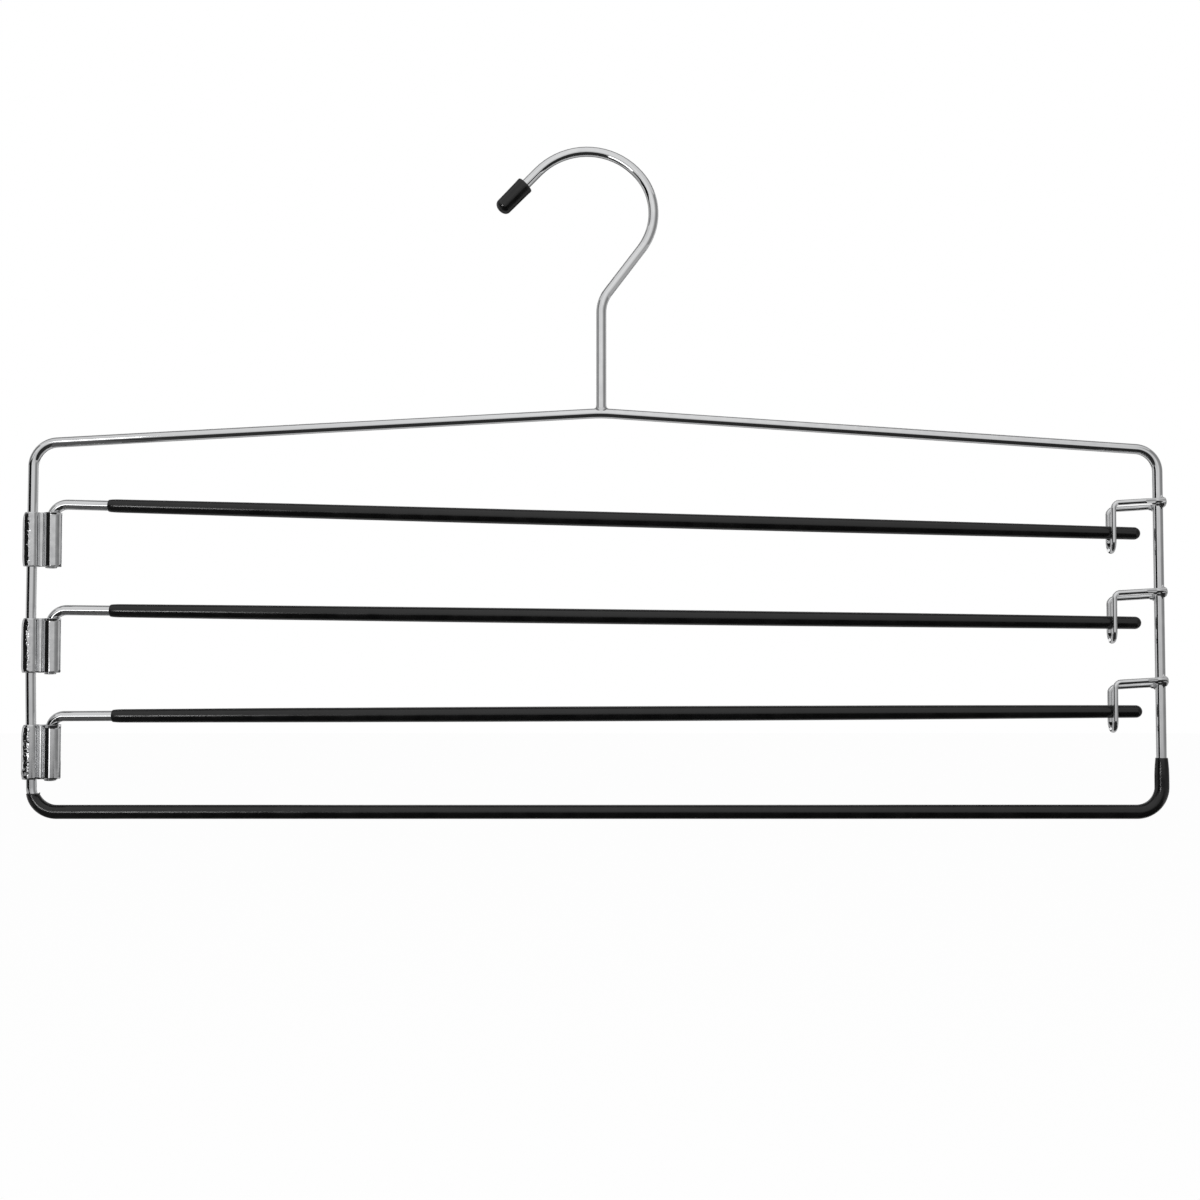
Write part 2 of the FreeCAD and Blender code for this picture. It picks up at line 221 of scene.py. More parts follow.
@dataclass
class Leg:
    """One straight run or one bend of a length of stock."""

    start: Vector
    heading: Vector
    length: float
    centre: Vector | None = None
    axis: Vector | None = None
    angle: float = 0.0

    def locate(self, points: np.ndarray, side: np.ndarray) -> tuple[np.ndarray, np.ndarray, np.ndarray]:
        """Find points against this leg's centre line.

        Args:
            points: Places, one to a row.
            side: A direction across the stock at the leg's start.

        Returns:
            The distance along the leg, and the offsets from its centre line along and across the side.
        """
        start, ahead = np.array(self.start), np.array(self.heading)
        if self.centre is None:
            along = np.clip((points - start) @ ahead, 0.0, self.length)
            offset = points - start - along[:, None] * ahead
            return along, offset @ side, offset @ np.cross(ahead, side)
        centre, axis = np.array(self.centre), np.array(self.axis)
        spoke = start - centre
        radius = np.linalg.norm(spoke)
        spoke = spoke / radius
        swept = np.arctan2((points - centre) @ ahead, (points - centre) @ spoke)
        swept = np.where(swept < -(math.pi - self.angle / 2), swept + 2 * math.pi, swept)
        swept = np.clip(swept, 0.0, self.angle)
        cosine, sine = np.cos(swept)[:, None], np.sin(swept)[:, None]
        offset = points - centre - radius * (cosine * spoke + sine * ahead)
        turned = cosine * side + sine * np.cross(axis, side) + (1 - cosine) * axis * (axis @ side)
        onward = cosine * ahead - sine * spoke
        return swept * radius, (offset * turned).sum(1), (offset * np.cross(onward, turned)).sum(1)


class Stock:
    """Stock of one section that is fed forward and bent, ring by ring, as on a wire-bending bench."""

    def __init__(self, name: str, start: Vector, heading: Vector) -> None:
        """Set the place and direction where the stock starts.

        Args:
            name: The piece's name.
            start: The middle of the first ring.
            heading: The direction in which the stock is first fed.
        """
        self.name = name
        self.place = start.copy()
        self.heading = heading.normalized()
        self.legs: list[Leg] = []
        self.radius = 0.0
        self.ring_size = 0
        self.piece: bpy.types.Object | None = None

    def round_section(self, radius: float, sides: int) -> "Stock":
        """Start with a round section.

        Args:
            radius: The section's radius.
            sides: The points on each ring.

        Returns:
            The stock itself.
        """
        deselect_all()
        turn = self.heading.to_track_quat("Z", "Y").to_euler()
        bpy.ops.mesh.primitive_circle_add(
            vertices=sides, radius=radius, fill_type="NOTHING", location=self.place, rotation=turn
        )
        self.radius = radius
        self._enter()
        return self

    def strip_section(
        self, outward: Vector, thickness: float, height: float, edge: float, rows: int
    ) -> "Stock":
        """Start with the section of a flat strip that stands on edge, with rounded corners.

        Args:
            outward: The direction of the strip's thickness.
            thickness: The strip's thickness.
            height: The strip's width, which stands upright.
            edge: The radius of the strip's corners.
            rows: The steps up each face of the strip.

        Returns:
            The stock itself.
        """
        deselect_all()
        turn = Matrix((outward, UP, self.heading)).transposed().to_euler()
        bpy.ops.mesh.primitive_plane_add(size=1.0, location=self.place, rotation=turn)
        bpy.context.object.scale = (thickness, height, 1.0)
        self._enter()
        bpy.ops.mesh.bevel(offset=edge, segments=3, affect="VERTICES")
        bpy.ops.mesh.select_all(action="SELECT")
        bpy.ops.mesh.delete(type="ONLY_FACE")
        mesh = bmesh.from_edit_mesh(self.piece.data)
        faces_of_strip = [side for side in mesh.edges if side.calc_length() > height / 2]
        bpy.ops.mesh.select_all(action="DESELECT")
        for side in faces_of_strip:
            side.select_set(True)
        bmesh.update_edit_mesh(self.piece.data)
        bpy.ops.mesh.subdivide(number_cuts=rows - 1)
        bpy.ops.mesh.select_all(action="SELECT")
        self.ring_size = len(bmesh.from_edit_mesh(self.piece.data).verts)
        return self

    def _enter(self) -> None:
        """Name the new piece, settle its place in its mesh and open it in edit mode, all selected."""
        self.piece = bpy.context.object
        self.piece.name = self.piece.data.name = self.name
        bpy.ops.object.transform_apply(location=True, rotation=True, scale=True)
        self.ring_size = len(self.piece.data.vertices)
        bpy.ops.object.mode_set(mode="EDIT")
        bpy.ops.mesh.select_all(action="SELECT")

    def feed(self, length: float) -> "Stock":
        """Feed the stock straight ahead.

        Args:
            length: How far it is fed.

        Returns:
            The stock itself.
        """
        if length > NEAR:
            self._advance(length)
            self.legs.append(Leg(self.place - self.heading * length, self.heading.copy(), length))
        return self

    def _advance(self, length: float) -> None:
        """Extrude the leading ring along the heading, or back along it where the length is negative.

        Args:
            length: How far the ring moves.
        """
        step = self.heading * length
        bpy.ops.mesh.extrude_region_move(TRANSFORM_OT_translate={"value": tuple(step)})
        self.place += step

    def swell(self, length: float, radius: float) -> "Stock":
        """Feed the stock ahead, or back where the length is negative, while its radius changes.

        Args:
            length: How far the leading ring moves.
            radius: The leading ring's new radius.

        Returns:
            The stock itself.
        """
        self._advance(length)
        factor = radius / self.radius
        bpy.ops.transform.resize(value=(factor, factor, factor), center_override=tuple(self.place))
        self.radius = radius
        return self

    def profile(self, outline: Sequence[tuple[float, float]]) -> "Stock":
        """Turn an outline, ring by ring.

        Args:
            outline: Distances along the heading from the present place, each with its radius.

        Returns:
            The stock itself.
        """
        reached = 0.0
        for distance, radius in outline:
            self.swell(distance - reached, radius)
            reached = distance
        return self

    def bend(self, axis: Vector, angle: float, radius: float) -> "Stock":
        """Bend the stock by the right-hand rule.

        Args:
            axis: The direction of the bend's axis.
            angle: How far it turns, in radians.
            radius: The bend's radius on the centre line.

        Returns:
            The stock itself.
        """
        centre = self.place + axis.cross(self.heading) * radius
        steps = max(4, math.ceil(angle / BEND_STEP))
        bpy.ops.mesh.spin(steps=steps, angle=angle, center=tuple(centre), axis=tuple(-axis))
        start, ahead = self.place.copy(), self.heading.copy()
        self.legs.append(Leg(start, ahead, angle * radius, centre, axis.copy(), angle))
        turn = Matrix.Rotation(angle, 3, axis)
        self.place = centre + turn @ (self.place - centre)
        self.heading = turn @ self.heading
        return self

    def follow(self, points: Sequence[Vector], radii: Sequence[float]) -> "Stock":
        """Feed and bend along a run of corners.

        Args:
            points: The corners and then the last end.
            radii: The bend radius at each corner.

        Returns:
            The stock itself.
        """
        for corner, after, radius in zip(points, points[1:], radii):
            ahead = (after - corner).normalized()
            angle = self.heading.angle(ahead)
            cut = radius * math.tan(angle / 2)
            self.feed((corner - self.place).length - cut)
            self.bend(self.heading.cross(ahead).normalized(), angle, radius)
        return self.feed((points[-1] - self.place).length)

    def finish(self, ends: Ends) -> bpy.types.Object:
        """Finish both ends, close the shell and keep where each point lay on the straight stock.

        Args:
            ends: How the ends are finished.

        Returns:
            The finished piece.
        """
        if ends is Ends.FILLED:
            bpy.ops.mesh.edge_face_add()
            mesh = bmesh.from_edit_mesh(self.piece.data)
            mesh.verts.ensure_lookup_table()
            first_ring = [point.co.copy() for point in mesh.verts[: self.ring_size]]
            select_points(self.piece, lambda place: any((place - p).length < NEAR for p in first_ring))
            bpy.ops.mesh.edge_face_add()
        close_shell(self.piece)
        self._keep_unbent()
        return self.piece

    def _keep_unbent(self) -> None:
        """Keep each point's place on the straight stock as the attribute unbent."""
        mesh = self.piece.data
        points = np.array([point.co for point in mesh.vertices])
        unbent = np.zeros((len(points), 3), np.float32)
        nearest = np.full(len(points), np.inf)
        travel = 0.0
        side = self.legs[0].heading.orthogonal().normalized() if self.legs else ALONG_X
        for leg in self.legs:
            along, first, second = leg.locate(points, np.array(side))
            offset = np.hypot(first, second)
            closer = offset < nearest
            nearest[closer] = offset[closer]
            unbent[closer] = np.stack([travel + along, first, second], 1)[closer]
            travel += leg.length
            if leg.axis is not None:
                side = Matrix.Rotation(leg.angle, 3, leg.axis) @ side
        layer = mesh.attributes.new("unbent", "FLOAT_VECTOR", "POINT")
        layer.data.foreach_set("vector", unbent.ravel())


def fresh_nodes(
    owner: bpy.types.Material | bpy.types.World,
) -> tuple[bpy.types.Nodes, bpy.types.NodeLinks]:
    """Start an empty node tree.

    Args:
        owner: The material or the world that gets it.

    Returns:
        The tree's nodes and links.
    """
    owner.use_nodes = True
    tree = owner.node_tree
    tree.nodes.clear()
    return tree.nodes, tree.links


class FinishNodes:
    """The node tree of one finish, built up from a principled surface."""

    def __init__(self, name: str) -> None:
        """Start a material with its surface and output.

        Args:
            name: The material's name.
        """
        self.material = bpy.data.materials.new(name)
        self.nodes, self.links = fresh_nodes(self.material)
        output = self.nodes.new("ShaderNodeOutputMaterial")
        self.surface = self.nodes.new("ShaderNodeBsdfPrincipled")
        self.links.new(self.surface.outputs["BSDF"], output.inputs["Surface"])

    def object_place(self) -> bpy.types.NodeSocket:
        """Return the socket that gives a point's place on the object."""
        return self.nodes.new("ShaderNodeTexCoord").outputs["Object"]

    def unbent_place(self) -> bpy.types.NodeSocket:
        """Return the socket that gives a point's place on the straight stock.

        Returns:
            The socket.
        """
        attribute = self.nodes.new("ShaderNodeAttribute")
        attribute.attribute_name = "unbent"
        return attribute.outputs["Vector"]

    def stretched(self, place: bpy.types.NodeSocket, scale: Sequence[float]) -> bpy.types.NodeSocket:
        """Stretch a place along its axes.

        Args:
            place: The place to stretch.
            scale: The factor for each axis.

        Returns:
            The stretched place.
        """
        mapping = self.nodes.new("ShaderNodeMapping")
        mapping.inputs["Scale"].default_value = scale
        self.links.new(place, mapping.inputs["Vector"])
        return mapping.outputs["Vector"]

    def noise(self, place: bpy.types.NodeSocket, scale: float, detail: float) -> bpy.types.NodeSocket:
        """Make a noise pattern.

        Args:
            place: Where the pattern is read.
            scale: Its frequency, per metre.
            detail: Its octaves.

        Returns:
            The pattern, from 0 to 1.
        """
        noise = self.nodes.new("ShaderNodeTexNoise")
        noise.inputs["Scale"].default_value = scale
        noise.inputs["Detail"].default_value = detail
        self.links.new(place, noise.inputs["Vector"])
        return noise.outputs["Fac"]

    def ranged(
        self,
        pattern: bpy.types.NodeSocket,
        low: float,
        high: float,
        start: float = PATTERN_LOW,
        end: float = PATTERN_HIGH,
    ) -> bpy.types.NodeSocket:
        """Map a pattern to a range of values.

        Args:
            pattern: The pattern.
            low: The value at the pattern's start.
            high: The value at the pattern's end.
            start: The pattern's own low end.
            end: The pattern's own high end.

        Returns:
            The mapped value.
        """
        mapped = self.nodes.new("ShaderNodeMapRange")
        mapped.inputs["From Min"].default_value = start
        mapped.inputs["From Max"].default_value = end
        mapped.inputs["To Min"].default_value = low
        mapped.inputs["To Max"].default_value = high
        self.links.new(pattern, mapped.inputs["Value"])
        return mapped.outputs["Result"]

    def tinted(
        self, pattern: bpy.types.NodeSocket, dark: Sequence[float], pale: Sequence[float]
    ) -> bpy.types.NodeSocket:
        """Blend two colours by a pattern.

        Args:
            pattern: The pattern.
            dark: The colour at its low end.
            pale: The colour at its high end.

        Returns:
            The blended colour.
        """
        ramp = self.nodes.new("ShaderNodeValToRGB")
        low, high = ramp.color_ramp.elements
        low.position, high.position = PATTERN_LOW, PATTERN_HIGH
        low.color, high.color = (*dark, 1.0), (*pale, 1.0)
        self.links.new(pattern, ramp.inputs["Fac"])
        return ramp.outputs["Color"]

    def along_x(self, place: bpy.types.NodeSocket) -> bpy.types.NodeSocket:
        """Take how far a place lies along X.

        Args:
            place: The place.

        Returns:
            The distance.
        """
        parts = self.nodes.new("ShaderNodeSeparateXYZ")
        self.links.new(place, parts.inputs["Vector"])
        return parts.outputs["X"]

    def both(self, first: bpy.types.NodeSocket, second: bpy.types.NodeSocket) -> bpy.types.NodeSocket:
        """Make a pattern that is high only where two patterns are.

        Args:
            first: The one pattern.
            second: The other pattern.

        Returns:
            The pattern of both.
        """
        product = self.nodes.new("ShaderNodeMath")
        product.operation = "MULTIPLY"
        self.links.new(first, product.inputs[0])
        self.links.new(second, product.inputs[1])
        return product.outputs["Value"]

    def raised(
        self,
        pattern: bpy.types.NodeSocket,
        height: float,
        under: bpy.types.NodeSocket | None = None,
        share: bpy.types.NodeSocket | None = None,
    ) -> bpy.types.NodeSocket:
        """Raise a fine relief from a pattern.

        Args:
            pattern: The pattern.
            height: The relief's height.
            under: A relief that it lies on.
            share: How strongly it shows from place to place.

        Returns:
            The relief's normal.
        """
        bump = self.nodes.new("ShaderNodeBump")
        bump.inputs["Distance"].default_value = height
        self.links.new(pattern, bump.inputs["Height"])
        if share is not None:
            self.links.new(share, bump.inputs["Strength"])
        if under is not None:
            self.links.new(under, bump.inputs["Normal"])
        return bump.outputs["Normal"]

    def drive(self, socket: str, source: bpy.types.NodeSocket) -> None:
        """Drive one of the surface's sockets by a pattern."""
        self.links.new(source, self.surface.inputs[socket])

    def fix(self, socket: str, value: float) -> None:
        """Set one of the surface's sockets to a value that is the same all over."""
        self.surface.inputs[socket].default_value = value


@dataclass(frozen=True)
class ChromedWire:
    """Bright chrome on drawn wire: a mirror with faint draw lines, a slow ripple and small dull patches."""

    name: str = "bright_chromed_wire"
    dark: tuple[float, float, float] = (0.74, 0.745, 0.755)
    pale: tuple[float, float, float] = (0.83, 0.835, 0.84)
    polish: tuple[float, float] = (0.02, 0.06)
    ripple_height: float = 0.0011 * MM
    line_height: float = 0.0004 * MM
    patch_scale: float = 260.0
    line_scale: tuple[float, float, float] = (60.0, 2600.0, 2600.0)
    ripple_scale: tuple[float, float, float] = (240.0, 520.0, 520.0)

    def material(self) -> bpy.types.Material:
        """Make the finish.

        Returns:
            Its material.
        """
        tree = FinishNodes(self.name)
        unbent = tree.unbent_place()
        patches = tree.noise(unbent, self.patch_scale, 4.0)
        lines = tree.noise(tree.stretched(unbent, self.line_scale), 1.0, 2.0)
        ripple = tree.noise(tree.stretched(unbent, self.ripple_scale), 1.0, 1.0)
        tree.fix("Metallic", 1.0)
        tree.drive("Base Color", tree.tinted(patches, self.dark, self.pale))
        tree.drive("Roughness", tree.ranged(patches, *self.polish))
        tree.drive("Normal", tree.raised(lines, self.line_height, tree.raised(ripple, self.ripple_height)))
        return tree.material


@dataclass(frozen=True)
class ChromedStrip:
    """Chrome on folded strip: rolling marks, a hammered ripple, a band of crimp marks and duller patches."""

    name: str = "folded_chromed_strip"
    dark: tuple[float, float, float] = (0.66, 0.665, 0.675)
    pale: tuple[float, float, float] = (0.81, 0.815, 0.82)
    polish: tuple[float, float] = (0.04, 0.11)
    hammer_height: float = 0.004 * MM
    mark_height: float = 0.0003 * MM
    crimp_height: float = 0.36 * MM
    # The places along X between which the band of crimp marks fades in, and then out
    crimp_start: tuple[float, float] = (-0.1941, -0.1932)
    crimp_end: tuple[float, float] = (-0.1922, -0.1912)
    patch_scale: float = 420.0
    mark_scale: tuple[float, float, float] = (2400.0, 2400.0, 160.0)
    hammer_scale: tuple[float, float, float] = (520.0, 520.0, 330.0)
    crimp_scale: tuple[float, float, float] = (700.0, 700.0, 500.0)

    def material(self) -> bpy.types.Material:
        """Make the finish.

        Returns:
            Its material.
        """
        tree = FinishNodes(self.name)
        place = tree.object_place()
        patches = tree.noise(place, self.patch_scale, 4.0)
        marks = tree.noise(tree.stretched(place, self.mark_scale), 1.0, 2.0)
        hammered = tree.noise(tree.stretched(place, self.hammer_scale), 1.0, 2.0)
        crimps = tree.noise(tree.stretched(place, self.crimp_scale), 1.0, 2.0)
        across = tree.along_x(place)
        crimped = tree.both(
            tree.ranged(across, 0.0, 1.0, *self.crimp_start), tree.ranged(across, 1.0, 0.0, *self.crimp_end)
        )
        relief = tree.raised(hammered, self.hammer_height)
        relief = tree.raised(crimps, self.crimp_height, relief, crimped)
        tree.fix("Metallic", 1.0)
        tree.drive("Base Color", tree.tinted(patches, self.dark, self.pale))
        tree.drive("Roughness", tree.ranged(patches, *self.polish))
        tree.drive("Normal", tree.raised(marks, self.mark_height, relief))
        return tree.material


@dataclass(frozen=True)
class ChromedWeld:
    """Chrome over a small weld bead: pitted and duller than the wire."""

    name: str = "chromed_weld_bead"
    dark: tuple[float, float, float] = (0.56, 0.56, 0.57)
    pale: tuple[float, float, float] = (0.80, 0.805, 0.81)
    polish: tuple[float, float] = (0.07, 0.24)
    pit_height: float = 0.02 * MM
    patch_scale: float = 900.0
    pit_scale: float = 2300.0

    def material(self) -> bpy.types.Material:
        """Make the finish.

        Returns:
            Its material.
        """
        tree = FinishNodes(self.name)
        place = tree.object_place()
        patches = tree.noise(place, self.patch_scale, 4.0)
        pits = tree.noise(place, self.pit_scale, 3.0)
        tree.fix("Metallic", 1.0)
        tree.drive("Base Color", tree.tinted(patches, self.dark, self.pale))
        tree.drive("Roughness", tree.ranged(patches, *self.polish))
        tree.drive("Normal", tree.raised(pits, self.pit_height))
        return tree.material


@dataclass(frozen=True)
class BlackVinyl:
    """Dipped black vinyl: a fine grain that breaks up highlights, slow sags and slightly rubbed patches."""

    name: str
    dark: tuple[float, float, float] = (0.0020, 0.0020, 0.0021)
    pale: tuple[float, float, float] = (0.0042, 0.0042, 0.0043)
    sheen: tuple[float, float] = (0.15, 0.27)
    grain_height: float = 0.004 * MM
    sag_height: float = 0.05 * MM
    refraction: float = 1.5
    rub_scale: float = 180.0
    grain_scale: float = 3200.0
    sag_scale: tuple[float, float, float] = (60.0, 260.0, 260.0)

    def material(self) -> bpy.types.Material:
        """Make the finish.

        Returns:
            Its material.
        """
        tree = FinishNodes(self.name)
        place = tree.object_place()
        rubbed = tree.noise(place, self.rub_scale, 4.0)
        grain = tree.noise(place, self.grain_scale, 2.0)
        sags = tree.noise(tree.stretched(place, self.sag_scale), 1.0, 1.0)
        tree.fix("IOR", self.refraction)
        tree.drive("Base Color", tree.tinted(rubbed, self.dark, self.pale))
        tree.drive("Roughness", tree.ranged(rubbed, *self.sheen))
        tree.drive("Normal", tree.raised(grain, self.grain_height, tree.raised(sags, self.sag_height)))
        return tree.material


@dataclass(frozen=True)
class Finishes:
    """The materials of all slots, made once and shared by the pieces."""

    by_slot: dict[Slot, bpy.types.Material]

    @classmethod
    def make(cls) -> "Finishes":
        """Make the finishes of the whole hanger.

        Returns:
            The finishes.
        """
        cap_vinyl = BlackVinyl("black_cap_vinyl", sheen=(0.16, 0.28), sag_height=0.02 * MM)
        return cls(
            {
                Slot.WIRE: ChromedWire().material(),
                Slot.STRIP: ChromedStrip().material(),
                Slot.WELD: ChromedWeld().material(),
                Slot.GRIP: BlackVinyl("black_grip_vinyl").material(),
                Slot.CAP: cap_vinyl.material(),
            }
        )

    def dress(self, piece: bpy.types.Object, slot: Slot, body: str, node: str) -> None:
        """Give a finished piece its material, and let it stand for its node on its body.

        Args:
            piece: The finished piece.
            slot: The material slot that it takes its finish from.
            body: The body that it moves with.
            node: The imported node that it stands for.
        """
        piece.data.materials.clear()
        piece.data.materials.append(self.by_slot[slot])
        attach(piece, body)
        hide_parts(node)
        LOG.info("%s stands for %s on %s, %d faces", piece.name, node, body, len(piece.data.polygons))


@dataclass(frozen=True)
class Layout:
    """Places that several sub-assemblies share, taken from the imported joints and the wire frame's sizes."""

    wire_radius: float = 1.75 * MM
    frame_width: float = 391.0 * MM
    frame_height: float = 138.1 * MM
    apex_drop: float = 90.0 * MM
    shank_offset: float = 5.0 * MM
    arm_tip_gap: float = 6.7 * MM

    def joint_place(self, name: str) -> Vector:
        """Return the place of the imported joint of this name."""
        return next(Vector(joint["pos_m"]) for joint in frame["joints"] if joint["name"] == name)

    def clip_middle(self, level: Level) -> Vector:
        """Return the middle of a clip, on the left upright's axis."""
        return self.joint_place(f"{level.value}_arm_lift")

    def pin_middle(self, level: Level) -> Vector:
        """Return the middle of an arm's pin."""
        return self.joint_place(f"{level.value}_arm_swing")

    @property
    def left(self) -> float:
        """The left upright's place along X."""
        return self.clip_middle(Level.UPPER).x

    @property
    def right(self) -> float:
        """The right upright's place along X."""
        return self.left + self.frame_width

    @property
    def bottom(self) -> float:
        """The bottom bar's height."""
        return -self.apex_drop - self.frame_height

    @property
    def apex(self) -> Vector:
        """The corner of the top rail under the hook."""
        return Vector((self.shank_offset, 0.0, -self.apex_drop))

    @property
    def arm_tip(self) -> float:
        """The place along X of the grips' closed tips."""
        return self.right - self.arm_tip_gap


@dataclass
class WireFrame:
    """The closed wire loop with its roof-shaped rail, and the vinyl grip on its bottom bar."""

    layout: Layout
    left_shoulder_drop: float = 10.7 * MM
    right_shoulder_drop: float = 13.05 * MM
    apex_radius: float = 60.0 * MM
    left_shoulder_radius: float = 8.6 * MM
    right_shoulder_radius: float = 8.0 * MM
    left_foot_radius: float = 8.6 * MM
    right_foot_radius: float = 8.7 * MM
    left_lean: float = 0.4 * MM
    left_foot_lean: float = 1.1 * MM
    right_lean: float = 0.5 * MM
    right_foot_lean: float = 0.1 * MM
    bow_radius: float = 1.2
    grip_radius: float = 2.45 * MM
    grip_bore: float = 1.77 * MM
    grip_left_rise: float = 6.4 * MM
    grip_right_rise: float = 18.6 * MM
    grip_taper: float = 7.0 * MM
    grip_thin_radius: float = 2.08 * MM
    grip_lip: float = 0.25 * MM
    grip_left_thinning: float = 0.34 * MM
    taper_steps: int = 6

    def _at(self, x: float, z: float) -> Vector:
        """Return a place in the loop's plane."""
        return Vector((x, 0.0, z))

    def loop(self) -> bpy.types.Object:
        """Bend the closed loop, from the middle of the bottom bar round to the same place.

        Returns:
            The loop.
        """
        layout = self.layout
        middle = self._at((layout.left + layout.right) / 2, layout.bottom)
        corners = [
            self._at(layout.right - self.right_foot_lean, layout.bottom),
            self._at(layout.right - self.right_lean, layout.apex.z - self.right_shoulder_drop),
            layout.apex,
            self._at(layout.left + self.left_lean, layout.apex.z - self.left_shoulder_drop),
            self._at(layout.left, layout.clip_middle(Level.MIDDLE).z),
            self._at(layout.left + self.left_foot_lean, layout.bottom),
            middle,
        ]
        radii = [
            self.right_foot_radius,
            self.right_shoulder_radius,
            self.apex_radius,
            self.left_shoulder_radius,
            self.bow_radius,
            self.left_foot_radius,
        ]
        stock = Stock("frame_loop", middle, ALONG_X).round_section(layout.wire_radius, WIRE_SIDES)
        return stock.follow(corners, radii).finish(Ends.JOINED)

    def bottom_grip(self) -> bpy.types.Object:
        """Shape the grip: out along the bottom bar, thinning up the right upright, and back along its bore.

        Returns:
            The grip.
        """
        layout = self.layout
        left_level = layout.bottom + self.grip_left_rise
        left, right = layout.left + self.left_foot_lean, layout.right - self.right_foot_lean
        left_top = self._at(left, layout.bottom + self.left_foot_radius + self.grip_radius)
        right_end = self._at(right, layout.bottom + self.grip_right_rise)
        left_foot, right_foot = self._at(left, layout.bottom), self._at(right, layout.bottom)
        radii = [self.left_foot_radius, self.right_foot_radius]
        stock = Stock("bottom_bar_grip", left_top, -UP).round_section(self.grip_radius, WIRE_SIDES)
        stock.follow([left_foot, right_foot, right_end - UP * self.grip_taper], radii)
        stock.profile(self._taper())
        stock.heading = -UP
        stock.follow([right_foot, left_foot, left_top], radii[::-1])
        piece = stock.piece
        select_points(piece, lambda place: place.x < 0.0)
        bpy.ops.mesh.bisect(
            plane_co=(layout.left, 0.0, left_level), plane_no=UP, clear_outer=True, threshold=MERGE_DISTANCE
        )
        select_points(piece, lambda place: place.x < 0.0 and abs(place.z - left_level) < MERGE_DISTANCE)
        bpy.ops.mesh.bridge_edge_loops()
        self._round_lip(piece, left_level)
        stock.finish(Ends.OPEN)
        displace(piece, -self.grip_left_thinning, lambda place: self._thinning(place, left_level))
        return piece

    def _thinning(self, place: Vector, level: float) -> float:
        """Find how much of the left end's thinning a place on the grip gets.

        Args:
            place: The place.
            level: The height of the left end.

        Returns:
            The share, from 0 to 1.
        """
        below = (level - place.z) / self.grip_taper
        in_bore = self._from_bend_line(place) < (self.grip_bore + self.grip_thin_radius) / 2
        if place.x > 0.0 or below > 1.0 or in_bore:
            return 0.0
        return (1.0 - max(0.0, below)) ** 2

    def _taper(self) -> list[tuple[float, float]]:
        """Draw the outline of the grip's right end: thinning, then over a round lip into the bore.

        Returns:
            Distances along the grip, each with its radius.
        """
        outline = []
        for step in range(1, self.taper_steps + 1):
            share = step / self.taper_steps
            radius = self.grip_radius - (self.grip_radius - self.grip_thin_radius) * share**2
            outline.append((share * (self.grip_taper - self.grip_lip), radius))
        for turn in (30.0, 60.0, 90.0):
            angle = math.radians(turn)
            rise = self.grip_taper - self.grip_lip + self.grip_lip * math.sin(angle)
            outline.append((rise, self.grip_thin_radius - self.grip_lip * (1.0 - math.cos(angle))))
        return outline + [(self.grip_taper, self.grip_bore)]

    def _round_lip(self, piece: bpy.types.Object, level: float) -> None:
        """Round the outer edge of the grip's level left end.

        Args:
            piece: The grip, in edit mode.
            level: The height of its left end.
        """
        wide = (self.grip_radius + self.grip_bore) / 2
        select_points(
            piece,
            lambda place: place.x < 0.0
            and abs(place.z - level) < MERGE_DISTANCE
            and self._from_bend_line(place) > wide,
        )
        bpy.ops.mesh.bevel(offset=self.grip_lip, segments=3, affect="EDGES")

    def _from_bend_line(self, place: Vector) -> float:
        """Measure how far a place near the left foot lies from the bend's centre line.

        Args:
            place: The place.

        Returns:
            The distance.
        """
        left = self.layout.left + self.left_foot_lean
        centre = self._at(left + self.left_foot_radius, self.layout.bottom + self.left_foot_radius)
        in_plane = math.hypot(place.x - centre.x, place.z - centre.z) - self.left_foot_radius
        return math.hypot(in_plane, place.y)

    def build(self, finishes: Finishes) -> None:
        """Build the loop and its grip, and dress them in the hanger's finishes."""
        finishes.dress(self.loop(), Slot.WIRE, "frame", "frame_wire")
        finishes.dress(self.bottom_grip(), Slot.GRIP, "frame", "bottom_bar_sleeve")


